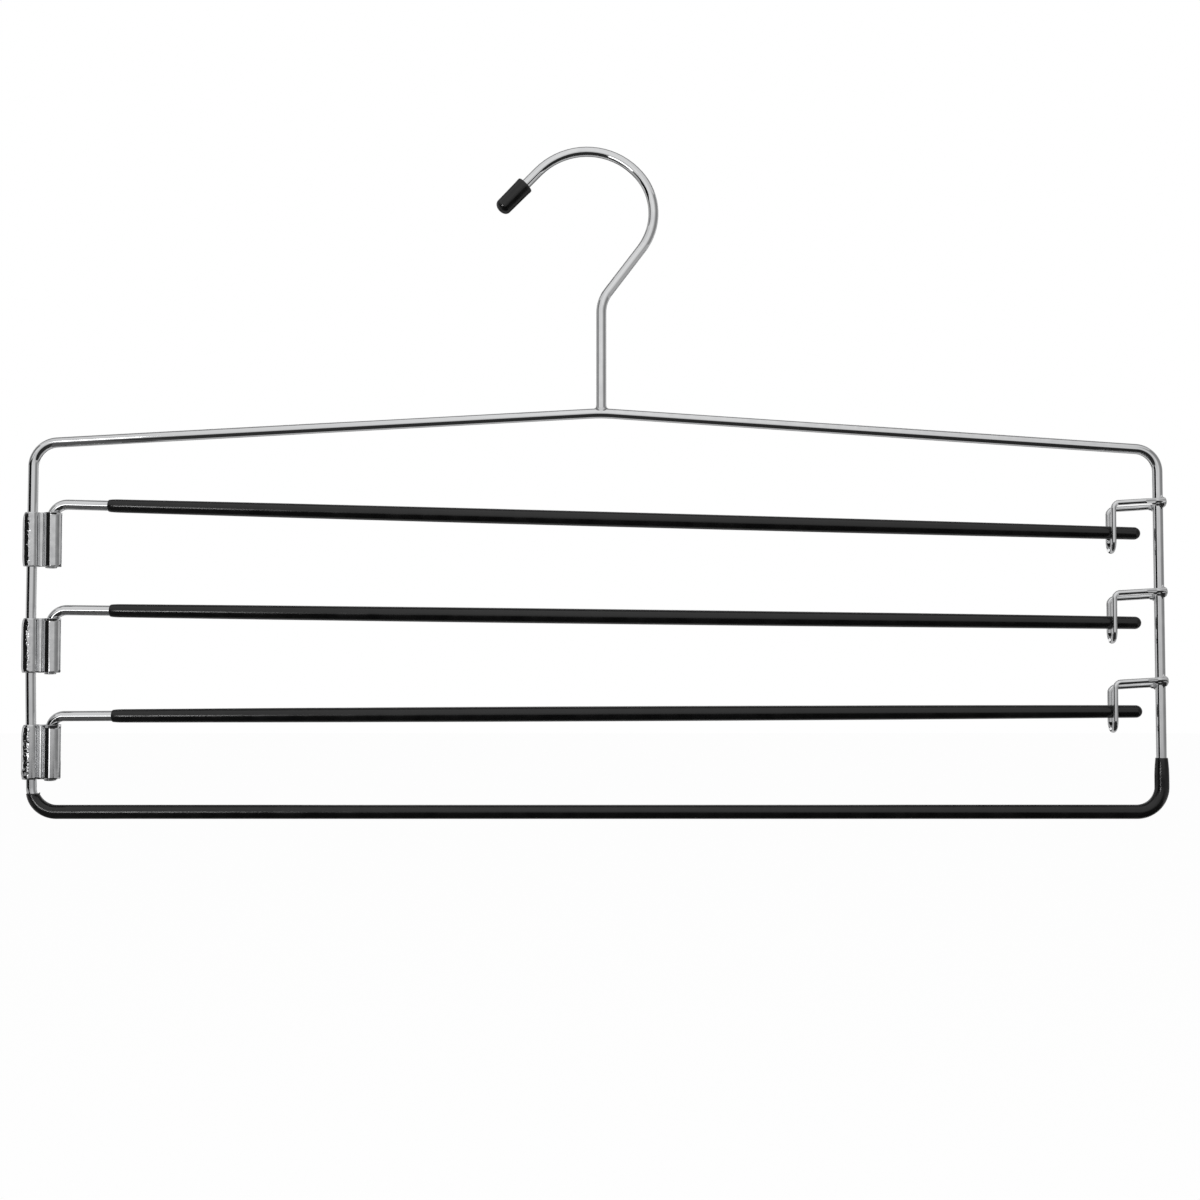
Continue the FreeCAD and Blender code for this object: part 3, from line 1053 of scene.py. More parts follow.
@dataclass
class RailHook:
    """The hook over the rail, with the weld at its foot and the soft cap on its tip."""

    layout: Layout
    crown_radius: float = 24.1 * MM
    side_radius: float = 20.5 * MM
    blend_angle: float = math.radians(41.0)
    slant_angle: float = math.radians(37.3)
    neck_radius: float = 11.8 * MM
    tip_angle: float = math.radians(135.6)
    tip_length: float = 17.2 * MM
    weld_height: float = 1.3 * MM
    weld_flare: float = 0.7 * MM
    weld_depth_share: float = 0.78
    # Shares of the wire's radius, of the weld's rise and of its flare
    weld_foot_share: float = 0.55
    weld_rise_share: float = 0.45
    weld_skirt_share: float = 0.8
    weld_hollow_share: float = 0.97
    cap_mouth_radius: float = 3.1 * MM
    cap_end_radius: float = 2.9 * MM
    cap_length: float = 13.0 * MM
    cap_wall: float = 1.8 * MM
    cap_bore: float = 1.77 * MM
    cap_lip: float = 0.5 * MM
    cap_round: float = 2.3 * MM
    cap_squareness: float = 2.15
    cap_bead: float = 0.06 * MM
    # How far behind the cap's mouth its bead ends and its side starts, in lips
    cap_bead_reach: tuple[float, float] = (2.2, 3.4)

    def _on_circle(self, centre: Vector, radius: float, angle: float) -> Vector:
        """Return a place on a circle in the hook's plane, with the angle from +X towards +Z."""
        return centre + Vector((math.cos(angle), 0.0, math.sin(angle))) * radius

    def _centres(self) -> tuple[Vector, Vector]:
        """Return the centres of the crown's arc and of the side's arc."""
        crown = Vector((0.0, 0.0, self.layout.wire_radius - self.crown_radius))
        return crown, self._on_circle(crown, self.crown_radius - self.side_radius, self.blend_angle)

    def _tip(self) -> tuple[Vector, Vector]:
        """Find the tip of the hook's wire.

        Returns:
            The wire's end and the direction in which it points.
        """
        crown, _ = self._centres()
        ahead = Vector((-math.sin(self.tip_angle), 0.0, math.cos(self.tip_angle)))
        return self._on_circle(crown, self.crown_radius, self.tip_angle) + ahead * self.tip_length, ahead

    def wire(self) -> bpy.types.Object:
        """Bend the hook's wire, from inside the rail up the shank and over to its tip.

        Returns:
            The wire.
        """
        _, side = self._centres()
        side_end = self._on_circle(side, self.side_radius, -self.slant_angle)
        slant = (side_end.x - self.layout.apex.x) / math.sin(self.slant_angle)
        neck_height = side_end.z - slant * math.cos(self.slant_angle)
        cut = self.neck_radius * math.tan(self.slant_angle / 2)
        stock = Stock("rail_hook", self.layout.apex, UP).round_section(self.layout.wire_radius, WIRE_SIDES)
        stock.feed(neck_height - self.layout.apex.z - cut)
        stock.bend(ALONG_Y, self.slant_angle, self.neck_radius)
        stock.feed(slant - cut)
        stock.bend(-ALONG_Y, self.slant_angle + self.blend_angle, self.side_radius)
        stock.bend(-ALONG_Y, self.tip_angle - self.blend_angle, self.crown_radius)
        return stock.feed(self.tip_length).finish(Ends.FILLED)

    def foot_weld(self) -> bpy.types.Object:
        """Shape the fillet of weld round the shank's foot, hollow in profile and flat across the rail.

        Returns:
            The weld.
        """
        foot = self.layout.apex + UP * (self.layout.wire_radius * self.weld_foot_share)
        wide = self.layout.wire_radius + self.weld_flare
        skirt = self.layout.wire_radius * self.weld_rise_share * self.weld_skirt_share
        hollow = self.weld_flare * self.weld_hollow_share
        stock = Stock("hook_foot_weld", foot, UP).round_section(wide, SMALL_SIDES)
        outline = [(skirt, wide)]
        for turn in range(10, 91, 10):
            angle = math.radians(turn)
            height = skirt + self.weld_height * (1 - math.cos(angle))
            outline.append((height, wide - hollow * math.sin(angle)))
        piece = stock.profile(outline).finish(Ends.FILLED)
        piece.data.transform(
            Matrix.Translation(foot)
            @ Matrix.Diagonal((1.0, self.weld_depth_share, 1.0, 1.0))
            @ Matrix.Translation(-foot)
        )
        return piece

    def tip_cap(self) -> bpy.types.Object:
        """Shape the blind cap: back along its bore, over a soft lip, down its side and round its end.

        Returns:
            The cap.
        """
        tip, ahead = self._tip()
        seat = tip + ahead * SEAT_GAP
        depth = self.cap_length - self.cap_wall + SEAT_GAP
        outline = [(-depth, self.cap_bore)]
        for turn in range(0, 91, 15):
            angle = math.radians(turn)
            along = -depth + self.cap_lip * (1 - math.cos(angle))
            outline.append((along, self.cap_mouth_radius - self.cap_lip * (1 - math.sin(angle))))
        bead_end, side_start = self.cap_bead_reach
        outline.append((-depth + bead_end * self.cap_lip, self.cap_mouth_radius))
        outline.append((-depth + side_start * self.cap_lip, self.cap_mouth_radius - self.cap_bead))
        for turn in range(0, 89, 8):
            angle, power = math.radians(turn), 2.0 / self.cap_squareness
            along = self.cap_wall - self.cap_round * (1.0 - math.sin(angle) ** power)
            outline.append((along, self.cap_end_radius * math.cos(angle) ** power))
        stock = Stock("hook_end_cap", seat, ahead).round_section(self.cap_bore, WIRE_SIDES)
        return stock.profile(outline).finish(Ends.FILLED)

    def build(self, finishes: Finishes) -> None:
        """Build and dress the hook, its weld and its cap.

        Args:
            finishes: The hanger's finishes.
        """
        finishes.dress(self.wire(), Slot.WIRE, "frame", "hook_wire")
        finishes.dress(self.foot_weld(), Slot.WELD, "frame", "hook_weld")
        finishes.dress(self.tip_cap(), Slot.CAP, "frame", "hook_tip_cap")


@dataclass
class HingeClip:
    """A strip folded round the left upright and the arm's pin, with rounded corners and hammered ends."""

    layout: Layout
    dents: dict[Level, float]
    slips: dict[Level, float]
    height: float = 18.8 * MM
    thickness: float = 0.5 * MM
    upright_clearance: float = 0.75 * MM
    pin_clearance: float = 0.65 * MM
    layer_gap: float = 0.1 * MM
    seam_gap: float = 0.4 * MM
    valley_radius: float = 0.9 * MM
    edge_radius: float = 0.2 * MM
    rows: int = 40
    corner_width: float = 0.9 * MM
    corner_height: float = 1.6 * MM
    draw_depth: float = 2.6 * MM
    top_draw: float = 0.85 * MM
    foot_draw: float = 0.4 * MM
    mouth_depth: float = 1.2 * MM
    mouth_roll: float = 0.22 * MM
    dent_size: float = 2.0 * MM
    dent_level: float = 0.9
    calm_share: float = 0.45
    row_margin: float = 0.1 * MM
    corner_draw_share: float = 0.6

    @property
    def upright_fold(self) -> float:
        """The strip's middle radius round the upright."""
        return self.layout.wire_radius + self.upright_clearance + self.thickness / 2

    @property
    def pin_fold(self) -> float:
        """The strip's middle radius round the pin."""
        return self.layout.wire_radius + self.pin_clearance + self.thickness / 2

    def _fold(self, middle: Vector, pin: Vector) -> bpy.types.Object:
        """Fold the strip, from the seam beside the pin round the upright and back to the seam.

        Args:
            middle: The clip's middle on the upright's axis.
            pin: The pin's middle.

        Returns:
            The folded strip.
        """
        web = (self.layer_gap + self.thickness) / 2
        valley = self.valley_radius + self.thickness / 2
        seam = math.asin(self.seam_gap / 2 / self.pin_fold)
        pin_dip = math.asin((web + valley) / (self.pin_fold + valley))
        upright_dip = math.asin((web + valley) / (self.upright_fold + valley))
        straight = (pin - middle).length
        straight -= (self.pin_fold + valley) * math.cos(pin_dip)
        straight -= (self.upright_fold + valley) * math.cos(upright_dip)
        outward = Vector((math.cos(seam), -math.sin(seam), 0.0))
        heading = Vector((-math.sin(seam), -math.cos(seam), 0.0))
        stock = Stock("upper_clip_strip", pin + outward * self.pin_fold, heading)
        stock.strip_section(outward, self.thickness, self.height, self.edge_radius, self.rows)
        round_pin = math.pi - seam - pin_dip
        stock.bend(-UP, round_pin, self.pin_fold).bend(UP, math.pi / 2 - pin_dip, valley).feed(straight)
        stock.bend(UP, math.pi / 2 - upright_dip, valley)
        stock.bend(-UP, 2 * (math.pi - upright_dip), self.upright_fold)
        stock.bend(UP, math.pi / 2 - upright_dip, valley).feed(straight)
        stock.bend(UP, math.pi / 2 - pin_dip, valley).bend(-UP, round_pin, self.pin_fold)
        return stock.finish(Ends.FILLED)

    def _heights(self, piece: bpy.types.Object, low: float, high: float) -> list[float]:
        """Return the heights of the piece's rows of points between two heights."""
        found = sorted({round(point.co.z, 7) for point in piece.data.vertices})
        return [height for height in found if low <= height <= high]

    def _draw(
        self, piece: bpy.types.Object, axis: Vector, height: float, inner: float, outer: float, shift: float
    ) -> None:
        """Move one row of the points round an axis in or out.

        Args:
            piece: The clip, in edit mode.
            axis: A place on the axis.
            height: The row's height.
            inner: The least distance from the axis of the points that move.
            outer: The greatest distance of those points.
            shift: How far they move outwards.
        """

        def in_row(place: Vector) -> bool:
            """Say whether a point lies in the row that moves."""
            reach = math.hypot(place.x - axis.x, place.y - axis.y)
            return abs(place.z - height) < MERGE_DISTANCE and inner < reach < outer

        select_points(piece, in_row)
        factor = 1.0 + shift / ((inner + outer) / 2)
        bpy.ops.transform.resize(value=(factor, factor, 1.0), center_override=(axis.x, axis.y, height))

    def _crimp(self, piece: bpy.types.Object, middle: Vector, pin: Vector) -> None:
        """Roll the pin tube's mouth, draw in the upright tube's ends and round their outer corners.

        Args:
            piece: The folded strip, in object mode.
            middle: The clip's middle on the upright's axis.
            pin: The pin's middle.
        """
        high = middle.z + self.height / 2
        mouth_rows = self._heights(piece, high - self.mouth_depth, high)
        rows = self._heights(piece, high - self.height, high)
        select_alone(piece)
        bpy.ops.object.mode_set(mode="EDIT")
        bore, rolled = self.pin_fold - self.thickness / 2, self.pin_fold + self.thickness / 2
        for height in mouth_rows:
            share = 1.0 - (high - height) / self.mouth_depth
            inner, outer = bore - self.row_margin, rolled + self.row_margin
            self._draw(piece, pin, height, inner, outer, self.mouth_roll * share**2)
        for height in rows:
            share = 1.0 - (self.height / 2 - abs(height - middle.z)) / self.draw_depth
            if share > 0.0:
                depth = self.top_draw if height > middle.z else self.foot_draw
                self._draw_in(piece, middle, height, depth * share**2)
        skin = self.upright_fold + self.thickness / 2
        top_skin = skin - self.top_draw * self.corner_draw_share
        foot_skin = skin - self.foot_draw * self.corner_draw_share
        for turn in (15.0, 35.0, 55.0, 75.0):
            angle, rise = math.radians(turn), UP * (self.height / 2)
            self._file_corner(middle + rise, -1.0, 1.0, angle, top_skin)
            self._file_corner(middle - rise, -1.0, -1.0, angle, foot_skin)
            self._file_corner(pin + rise, 1.0, 1.0, angle, rolled + self.mouth_roll)
            self._file_corner(pin - rise, 1.0, -1.0, angle, rolled)
        close_shell(piece)

    def _draw_in(self, piece: bpy.types.Object, axis: Vector, height: float, shift: float) -> None:
        """Draw one row of the upright tube's outer side in towards the wire.

        Args:
            piece: The clip, in edit mode.
            axis: A place on the upright's axis.
            height: The row's height.
            shift: How far the tube's outermost skin moves in.
        """
        skin = self.upright_fold + self.thickness / 2
        select_points(piece, lambda place: abs(place.z - height) < MERGE_DISTANCE and place.x < axis.x)
        factor = 1.0 - shift / skin
        bpy.ops.transform.resize(value=(factor, 1.0, 1.0), center_override=(axis.x, axis.y, height))

    def _file_corner(self, end: Vector, outward: float, side: float, turn: float, skin: float) -> None:
        """File one flat of the rounded outer corner at an end of a tube.

        Args:
            end: The tube's end on its axis.
            outward: 1 for the right tube, -1 for the left.
            side: 1 for the upper end, -1 for the lower.
            turn: How far the flat is round the corner, from upright to level.
            skin: How far the tube's outermost skin lies from its axis.
        """
        across, down = self.corner_width * (1.0 - math.cos(turn)), self.corner_height * (1.0 - math.sin(turn))
        spot = end + Vector((outward * (skin - across), 0.0, -side * down))
        level, upright = math.cos(turn) / self.corner_width, math.sin(turn) / self.corner_height
        facing = Vector((outward * level, 0.0, side * upright))
        bpy.ops.mesh.select_all(action="SELECT")
        bpy.ops.mesh.bisect(
            plane_co=spot, plane_no=facing.normalized(), use_fill=True, clear_outer=True, threshold=NEAR
        )

    def _hammer(self, piece: bpy.types.Object, middle: Vector, depth: float) -> None:
        """Dent the outside of the crimped tube, most of all near its ends.

        Args:
            piece: The clip, in object mode, in its place.
            middle: The clip's middle on the upright's axis.
            depth: How deep the dents are.
        """
        dents = bpy.data.textures.new(f"{piece.name}_dents", "CLOUDS")
        dents.noise_scale = self.dent_size
        dents.noise_depth = 1
        settings = {"texture": dents, "texture_coords": "GLOBAL", "mid_level": self.dent_level}
        displace(piece, depth, lambda place: self._hit(place, middle), **settings)

    def _hit(self, place: Vector, middle: Vector) -> float:
        """Find how much of the dents' depth a place on a clip gets.

        Args:
            place: The place.
            middle: The clip's middle on the upright's axis.

        Returns:
            The share, from 0 to 1.
        """
        if math.hypot(place.x - middle.x, place.y) < self.upright_fold or place.x > middle.x:
            return 0.0
        side = min(1.0, 2.0 * (middle.x - place.x) / self.upright_fold)
        near_end = (abs(place.z - middle.z) * 2 / self.height) ** 2
        return side * (self.calm_share + (1.0 - self.calm_share) * near_end)

    def build(self, finishes: Finishes) -> None:
        """Fold one clip, copy it to the other levels, hammer each in its place and dress them.

        Args:
            finishes: The hanger's finishes.
        """
        middle = self.layout.clip_middle(Level.UPPER)
        pin = self.layout.pin_middle(Level.UPPER)
        folded = self._fold(middle, pin)
        self._crimp(folded, middle, pin)
        clips = {Level.UPPER: folded}
        for level in (Level.MIDDLE, Level.LOWER):
            shift = self.layout.clip_middle(level) - middle + ALONG_X * self.slips[level]
            clips[level] = moved_copy(folded, f"{level.value}_clip_strip", shift)
        for level, clip in clips.items():
            place = self.layout.clip_middle(level) + ALONG_X * self.slips[level]
            self._hammer(clip, place, self.dents[level])
            finishes.dress(clip, Slot.STRIP, f"{level.value}_clip", f"{level.value}_hinge_clip")


@dataclass
class SwingArm:
    """One swing arm: headed pin, one bend and a bar, with a dipped vinyl grip that is closed at its tip."""

    layout: Layout
    level: Level
    droop: float
    grip_start: float
    bend_radius: float
    pin_play: float
    clip_height: float = 18.8 * MM
    bar_rise: float = 2.9 * MM
    head_radius: float = 2.0 * MM
    head_gap: float = 0.15 * MM
    head_thickness: float = 0.45 * MM
    head_dome: float = 0.2 * MM
    bore: float = 1.77 * MM
    tip_wall: float = 1.0 * MM
    mouth_radius: float = 2.0 * MM
    root_radius: float = 2.3 * MM
    root_length: float = 3.6 * MM
    middle_radius: float = 2.61 * MM
    tip_radius: float = 2.17 * MM
    crown_steps: int = 40
    head_flat_share: float = 0.3
    mouth_step: float = 0.06 * MM
    mouth_lip: float = 0.05 * MM

    # The head's dome and rim: each ring's share of the height and of the head's radius
    DOME = ((0.2, 0.62), (0.6, 0.88), (1.0, 0.98))
    RIM = ((0.5, 1.0), (0.85, 0.97), (1.0, 0.9))

    def bar_line(self) -> tuple[Vector, Vector, float]:
        """Find the bar's axis.

        Returns:
            Where it meets the pin's axis, its direction and its length to the grip's tip.
        """
        pin = self.layout.pin_middle(self.level)
        corner = pin + UP * (self.clip_height / 2 + self.bar_rise)
        ahead = Vector((math.cos(self.droop), 0.0, -math.sin(self.droop)))
        return corner, ahead, (self.layout.arm_tip - pin.x) / ahead.x

    def wire(self) -> bpy.types.Object:
        """Bend the arm's wire: a peened head, the pin, one bend and the bar.

        Returns:
            The wire.
        """
        corner, ahead, length = self.bar_line()
        shift = -ALONG_X * self.pin_play
        top = self.layout.pin_middle(self.level) + shift - UP * (self.clip_height / 2 + self.head_gap)
        foot = top - UP * self.head_thickness
        stock = Stock(f"{self.level.value}_swing_wire", foot, UP)
        stock.round_section(self.head_radius * self.head_flat_share, SMALL_SIDES)
        rim = self.head_thickness - self.head_dome
        outline = [(self.head_dome * rise, self.head_radius * wide) for rise, wide in self.DOME]
        outline += [(self.head_dome + rim * rise, self.head_radius * wide) for rise, wide in self.RIM]
        stock.profile(outline + [(self.head_thickness, self.layout.wire_radius)])
        near = corner + shift.x * ahead / ahead.x
        stock.follow([near, corner + ahead * (length - self.tip_wall)], [self.bend_radius])
        return stock.finish(Ends.FILLED)

    def _skin_radius(self, place: float, first: float, last: float) -> float:
        """Find the grip's radius at a distance along the bar, on one shallow crown.

        Args:
            place: The distance along the bar.
            first: Where the crown starts.
            last: Where it ends.

        Returns:
            The radius.
        """
        share = (place - (first + last) / 2) / ((last - first) / 2)
        lean = share * (self.tip_radius - self.root_radius) / 2
        ends = (self.tip_radius + self.root_radius) / 2
        return self.middle_radius + lean + share**2 * (ends - self.middle_radius)

    def grip(self) -> bpy.types.Object:
        """Shape the grip: back along its bore, over the thin root, along its crown and round its tip.

        Returns:
            The grip.
        """
        corner, ahead, length = self.bar_line()
        seat = length - self.tip_wall + SEAT_GAP
        first = self.grip_start + self.root_length
        last = length - self.tip_radius
        outline = [(self.grip_start, self.bore), (self.grip_start, self.mouth_radius - self.mouth_step)]
        for turn in range(0, 90, 9):
            angle = math.radians(turn)
            rise = (self._skin_radius(first, first, last) - self.mouth_radius) * math.sin(angle)
            along = first - self.root_length * math.cos(angle) + self.mouth_lip
            outline.append((along, self.mouth_radius + rise))
        for step in range(self.crown_steps + 1):
            place = first + (last - first) * step / self.crown_steps
            outline.append((place, self._skin_radius(place, first, last)))
        for turn in (10, 20, 30, 40, 50, 60, 70, 79, 86):
            angle = math.radians(turn)
            outline.append((last + self.tip_radius * math.sin(angle), self.tip_radius * math.cos(angle)))
        stock = Stock(f"{self.level.value}_bar_grip", corner + ahead * seat, ahead)
        stock.round_section(self.bore, WIRE_SIDES)
        return stock.profile([(place - seat, radius) for place, radius in outline]).finish(Ends.FILLED)

    def build(self, finishes: Finishes) -> None:
        """Build and dress the arm's wire and its grip.

        Args:
            finishes: The hanger's finishes.
        """
        name = self.level.value
        finishes.dress(self.wire(), Slot.WIRE, f"{name}_arm", f"{name}_arm_wire")
        finishes.dress(self.grip(), Slot.GRIP, f"{name}_arm", f"{name}_arm_sleeve")


@dataclass
class BarKeeper:
    """A thin wire hairpin round the bars' free ends, welded to the front and back of the right upright."""

    layout: Layout
    arms: dict[Level, SwingArm]
    wire_radius: float = 0.9 * MM
    rise: float = 10.2 * MM
    reach: float = 16.9 * MM
    back_shift: float = 0.3 * MM
    depth: float = 16.6 * MM
    slope: float = math.radians(3.5)
    level_step: float = 1.8 * MM
    corner_radius: float = 2.0 * MM
    jog_radius: float = 3.0 * MM
    jog_length: float = 3.6 * MM
    leg_offset: float = 3.36 * MM
    tip_clearance: float = 0.8 * MM
    weld_sink: float = 0.25 * MM
    overrun: float = 1.5 * MM
    bead_voxel: float = 0.1 * MM
    bead_dent_size: float = 0.9 * MM
    bead_dent_depth: float = 0.16 * MM
    bead_dent_level: float = 0.6
    bead_smoothing: int = 4
    # The rounding of the wire's cut ends, in shares of its radius
    end_flat: float = 0.6
    end_shoulder: float = 0.88
    end_steps: tuple[float, float] = (0.18, 0.3)

    # Knob, tail, toe and fillet in mm: each one's place beyond the upright, outwards and up, and its radii
    LUMPS = (
        ((0.55, 1.9, -0.6), (1.45, 1.2, 1.9)),
        ((0.35, 1.4, -0.55), (0.85, 0.75, 2.6)),
        ((-1.1, 1.75, -1.05), (1.15, 0.8, 0.85)),
        ((-2.3, 1.75, -0.7), (0.9, 0.8, 0.75)),
    )

    def height(self, level: Level) -> float:
        """Return the height where a keeper's two wires meet the upright, midway between them."""
        corner, ahead, _ = self.arms[level].bar_line()
        return corner.z + (self.layout.right - self.reach - corner.x) * ahead.z / ahead.x + self.rise

    def _half(self, level: float, side: float) -> list[Vector]:
        """Return the corners of the front or the back half, from the weld to the hairpin's foot.

        Args:
            level: The keeper's height at the upright.
            side: -1 for the front half, 1 for the back.

        Returns:
            The corners.
        """
        right = self.layout.right
        weld = self.layout.wire_radius + self.wire_radius - self.weld_sink
        jog = self.layout.arm_tip + self.tip_clearance
        leg = right - self.reach + (self.back_shift if side > 0.0 else 0.0)

        def at(x: float, offset: float) -> Vector:
            """Return a place on the half's sloping run."""
            fall = (right - x) * math.tan(self.slope)
            return Vector((x, side * offset, level - side * self.level_step / 2 - fall))

        return [
            at(right + self.overrun, weld),
            at(jog + self.jog_length, weld),
            at(jog, self.leg_offset),
            at(leg, self.leg_offset),
            Vector((leg, side * self.leg_offset, level - self.depth)),
        ]

    def hairpin(self, level: float) -> bpy.types.Object:
        """Bend the hairpin at a height, from its front weld round to its back weld.

        Args:
            level: The keeper's height at the upright.

        Returns:
            The hairpin.
        """
        front, back = self._half(level, -1.0), self._half(level, 1.0)
        corners = front[1:] + back[::-1]
        radii = [self.jog_radius, self.jog_radius, self.corner_radius, self.leg_offset]
        start, ahead = front[0], front[1] - front[0]
        flat, shoulder = self.wire_radius * self.end_flat, self.wire_radius * self.end_shoulder
        outer, inner = (self.wire_radius * step for step in self.end_steps)
        stock = Stock("upper_hairpin", start, ahead).round_section(flat, THIN_WIRE_SIDES)
        stock.swell(outer, shoulder).swell(inner, self.wire_radius)
        stock.follow(corners, radii + radii[::-1])
        stock.swell(inner, shoulder).swell(outer, flat)
        return stock.finish(Ends.FILLED)

    def _lump(self, place: Vector, size: tuple[float, float, float]) -> bpy.types.Object:
        """Shape one lump of weld.

        Args:
            place: The lump's middle.
            size: Its radii.

        Returns:
            The lump.
        """
        deselect_all()
        bpy.ops.mesh.primitive_ico_sphere_add(subdivisions=4, radius=1.0, location=place)
        lump = bpy.context.object
        lump.scale = size
        bpy.ops.object.transform_apply(location=True, rotation=True, scale=True)
        return lump

    def beads(self, level: float) -> bpy.types.Object:
        """Shape the front and back beads at a height: a knob beyond the upright and a toe before it.

        Args:
            level: The keeper's height at the upright.

        Returns:
            The beads, as one piece.
        """
        right, lumps = self.layout.right, []
        for side in (-1.0, 1.0):
            height = level - side * self.level_step / 2
            for (beyond, out, above), size in self.LUMPS:
                place = Vector((right + beyond * MM, side * out * MM, height + above * MM))
                lumps.append(self._lump(place, tuple(radius * MM for radius in size)))
        deselect_all()
        for lump in lumps:
            lump.select_set(True)
        bead = lumps[0]
        bpy.context.view_layer.objects.active = bead
        bpy.ops.object.join()
        bead.name = bead.data.name = "upper_hairpin_welds"
        apply_modifier(bead, "REMESH", mode="VOXEL", voxel_size=self.bead_voxel)
        dents = bpy.data.textures.new("bead_dents", "CLOUDS")
        dents.noise_scale = self.bead_dent_size
        settings = {"texture": dents, "texture_coords": "GLOBAL", "mid_level": self.bead_dent_level}
        apply_modifier(bead, "DISPLACE", strength=self.bead_dent_depth, **settings)
        apply_modifier(bead, "SMOOTH", factor=0.5, iterations=self.bead_smoothing)
        smooth(bead)
        return bead

    def build(self, finishes: Finishes) -> None:
        """Bend one keeper with its beads, copy both to the other levels and dress them.

        Args:
            finishes: The hanger's finishes.
        """
        top = self.height(Level.UPPER)
        hairpin, beads = self.hairpin(top), self.beads(top)
        for level in Level:
            name, pin, bead = level.value, hairpin, beads
            if level is not Level.UPPER:
                shift = UP * (self.height(level) - top)
                pin = moved_copy(hairpin, f"{name}_hairpin", shift)
                bead = moved_copy(beads, f"{name}_hairpin_welds", shift)
            finishes.dress(pin, Slot.WIRE, "frame", f"{name}_keeper")
            finishes.dress(bead, Slot.WELD, "frame", f"{name}_keeper_welds")


@dataclass(frozen=True)
class Card:
    """A flat studio card that only glossy surfaces show, with a glow that changes evenly across it."""

    name: str
    first: tuple[tuple[float, float, float], tuple[float, float, float]]
    last: tuple[tuple[float, float, float], tuple[float, float, float]]
    glow: tuple[float, float]

    def build(self) -> None:
        """Stand the card in the studio."""
        deselect_all()
        bpy.ops.mesh.primitive_plane_add(size=1.0)
        card = bpy.context.object
        card.name = card.data.name = self.name
        corners = (self.first[0], self.last[0], self.first[1], self.last[1])
        for point, corner in zip(card.data.vertices, corners):
            point.co = corner
        card.visible_camera = card.visible_diffuse = card.visible_shadow = False
        card.data.materials.append(self._paint())

    def _paint(self) -> bpy.types.Material:
        """Return the card's paint, which gives off its own light.

        Returns:
            The paint.
        """
        paint = bpy.data.materials.new(self.name)
        nodes, links = fresh_nodes(paint)
        output = nodes.new("ShaderNodeOutputMaterial")
        glow = nodes.new("ShaderNodeEmission")
        links.new(glow.outputs["Emission"], output.inputs["Surface"])
        glow.inputs["Strength"].default_value = self.glow[0]
        if self.glow[0] != self.glow[1]:
            place = nodes.new("ShaderNodeTexCoord")
            apart = nodes.new("ShaderNodeSeparateXYZ")
            ranged = nodes.new("ShaderNodeMapRange")
            ranged.inputs["To Min"].default_value, ranged.inputs["To Max"].default_value = self.glow
            links.new(place.outputs["UV"], apart.inputs["Vector"])
            links.new(apart.outputs["X"], ranged.inputs["Value"])
            links.new(ranged.outputs["Result"], glow.inputs["Strength"])
        return paint


def wall(
    name: str, start: tuple[float, float], end: tuple[float, float], rise: tuple[float, float], *glow: float
) -> Card:
    """Return an upright card.

    Args:
        name: The card's name.
        start: Where its first side stands, in X and Y.
        end: Where its last side stands.
        rise: The heights of its foot and its head.
        glow: Its brightness at the first side and, where it changes, at the last.

    Returns:
        The card.
    """
    foot, head = rise
    return Card(name, ((*start, foot), (*start, head)), ((*end, foot), (*end, head)), (glow[0], glow[-1]))


def sheet(
    name: str,
    height: float,
    spans: tuple[float, float, float, float],
    depth: tuple[float, float],
    *glow: float,
) -> Card:
    """Return a level card with a straight front and back and slanting sides.

    Args:
        name: The card's name.
        height: The height that it lies at.
        spans: The ends in X of its front and then of its back.
        depth: The places in Y of its front and its back.
        glow: Its brightness at the left side and, where it changes, at the right.

    Returns:
        The card.
    """
    (front, back), (a, b, c, d) = depth, spans
    left, right = ((a, front, height), (c, back, height)), ((b, front, height), (d, back, height))
    return Card(name, left, right, (glow[0], glow[-1]))


@dataclass(frozen=True)
class Strip:
    """A small oblong lamp that only the pieces whose names end in some way mirror."""

    name: str
    place: tuple[float, float, float]
    size: tuple[float, float]
    power: float
    ending: str
    facing: tuple[float, float, float] = (0.0, 1.0, 0.0)


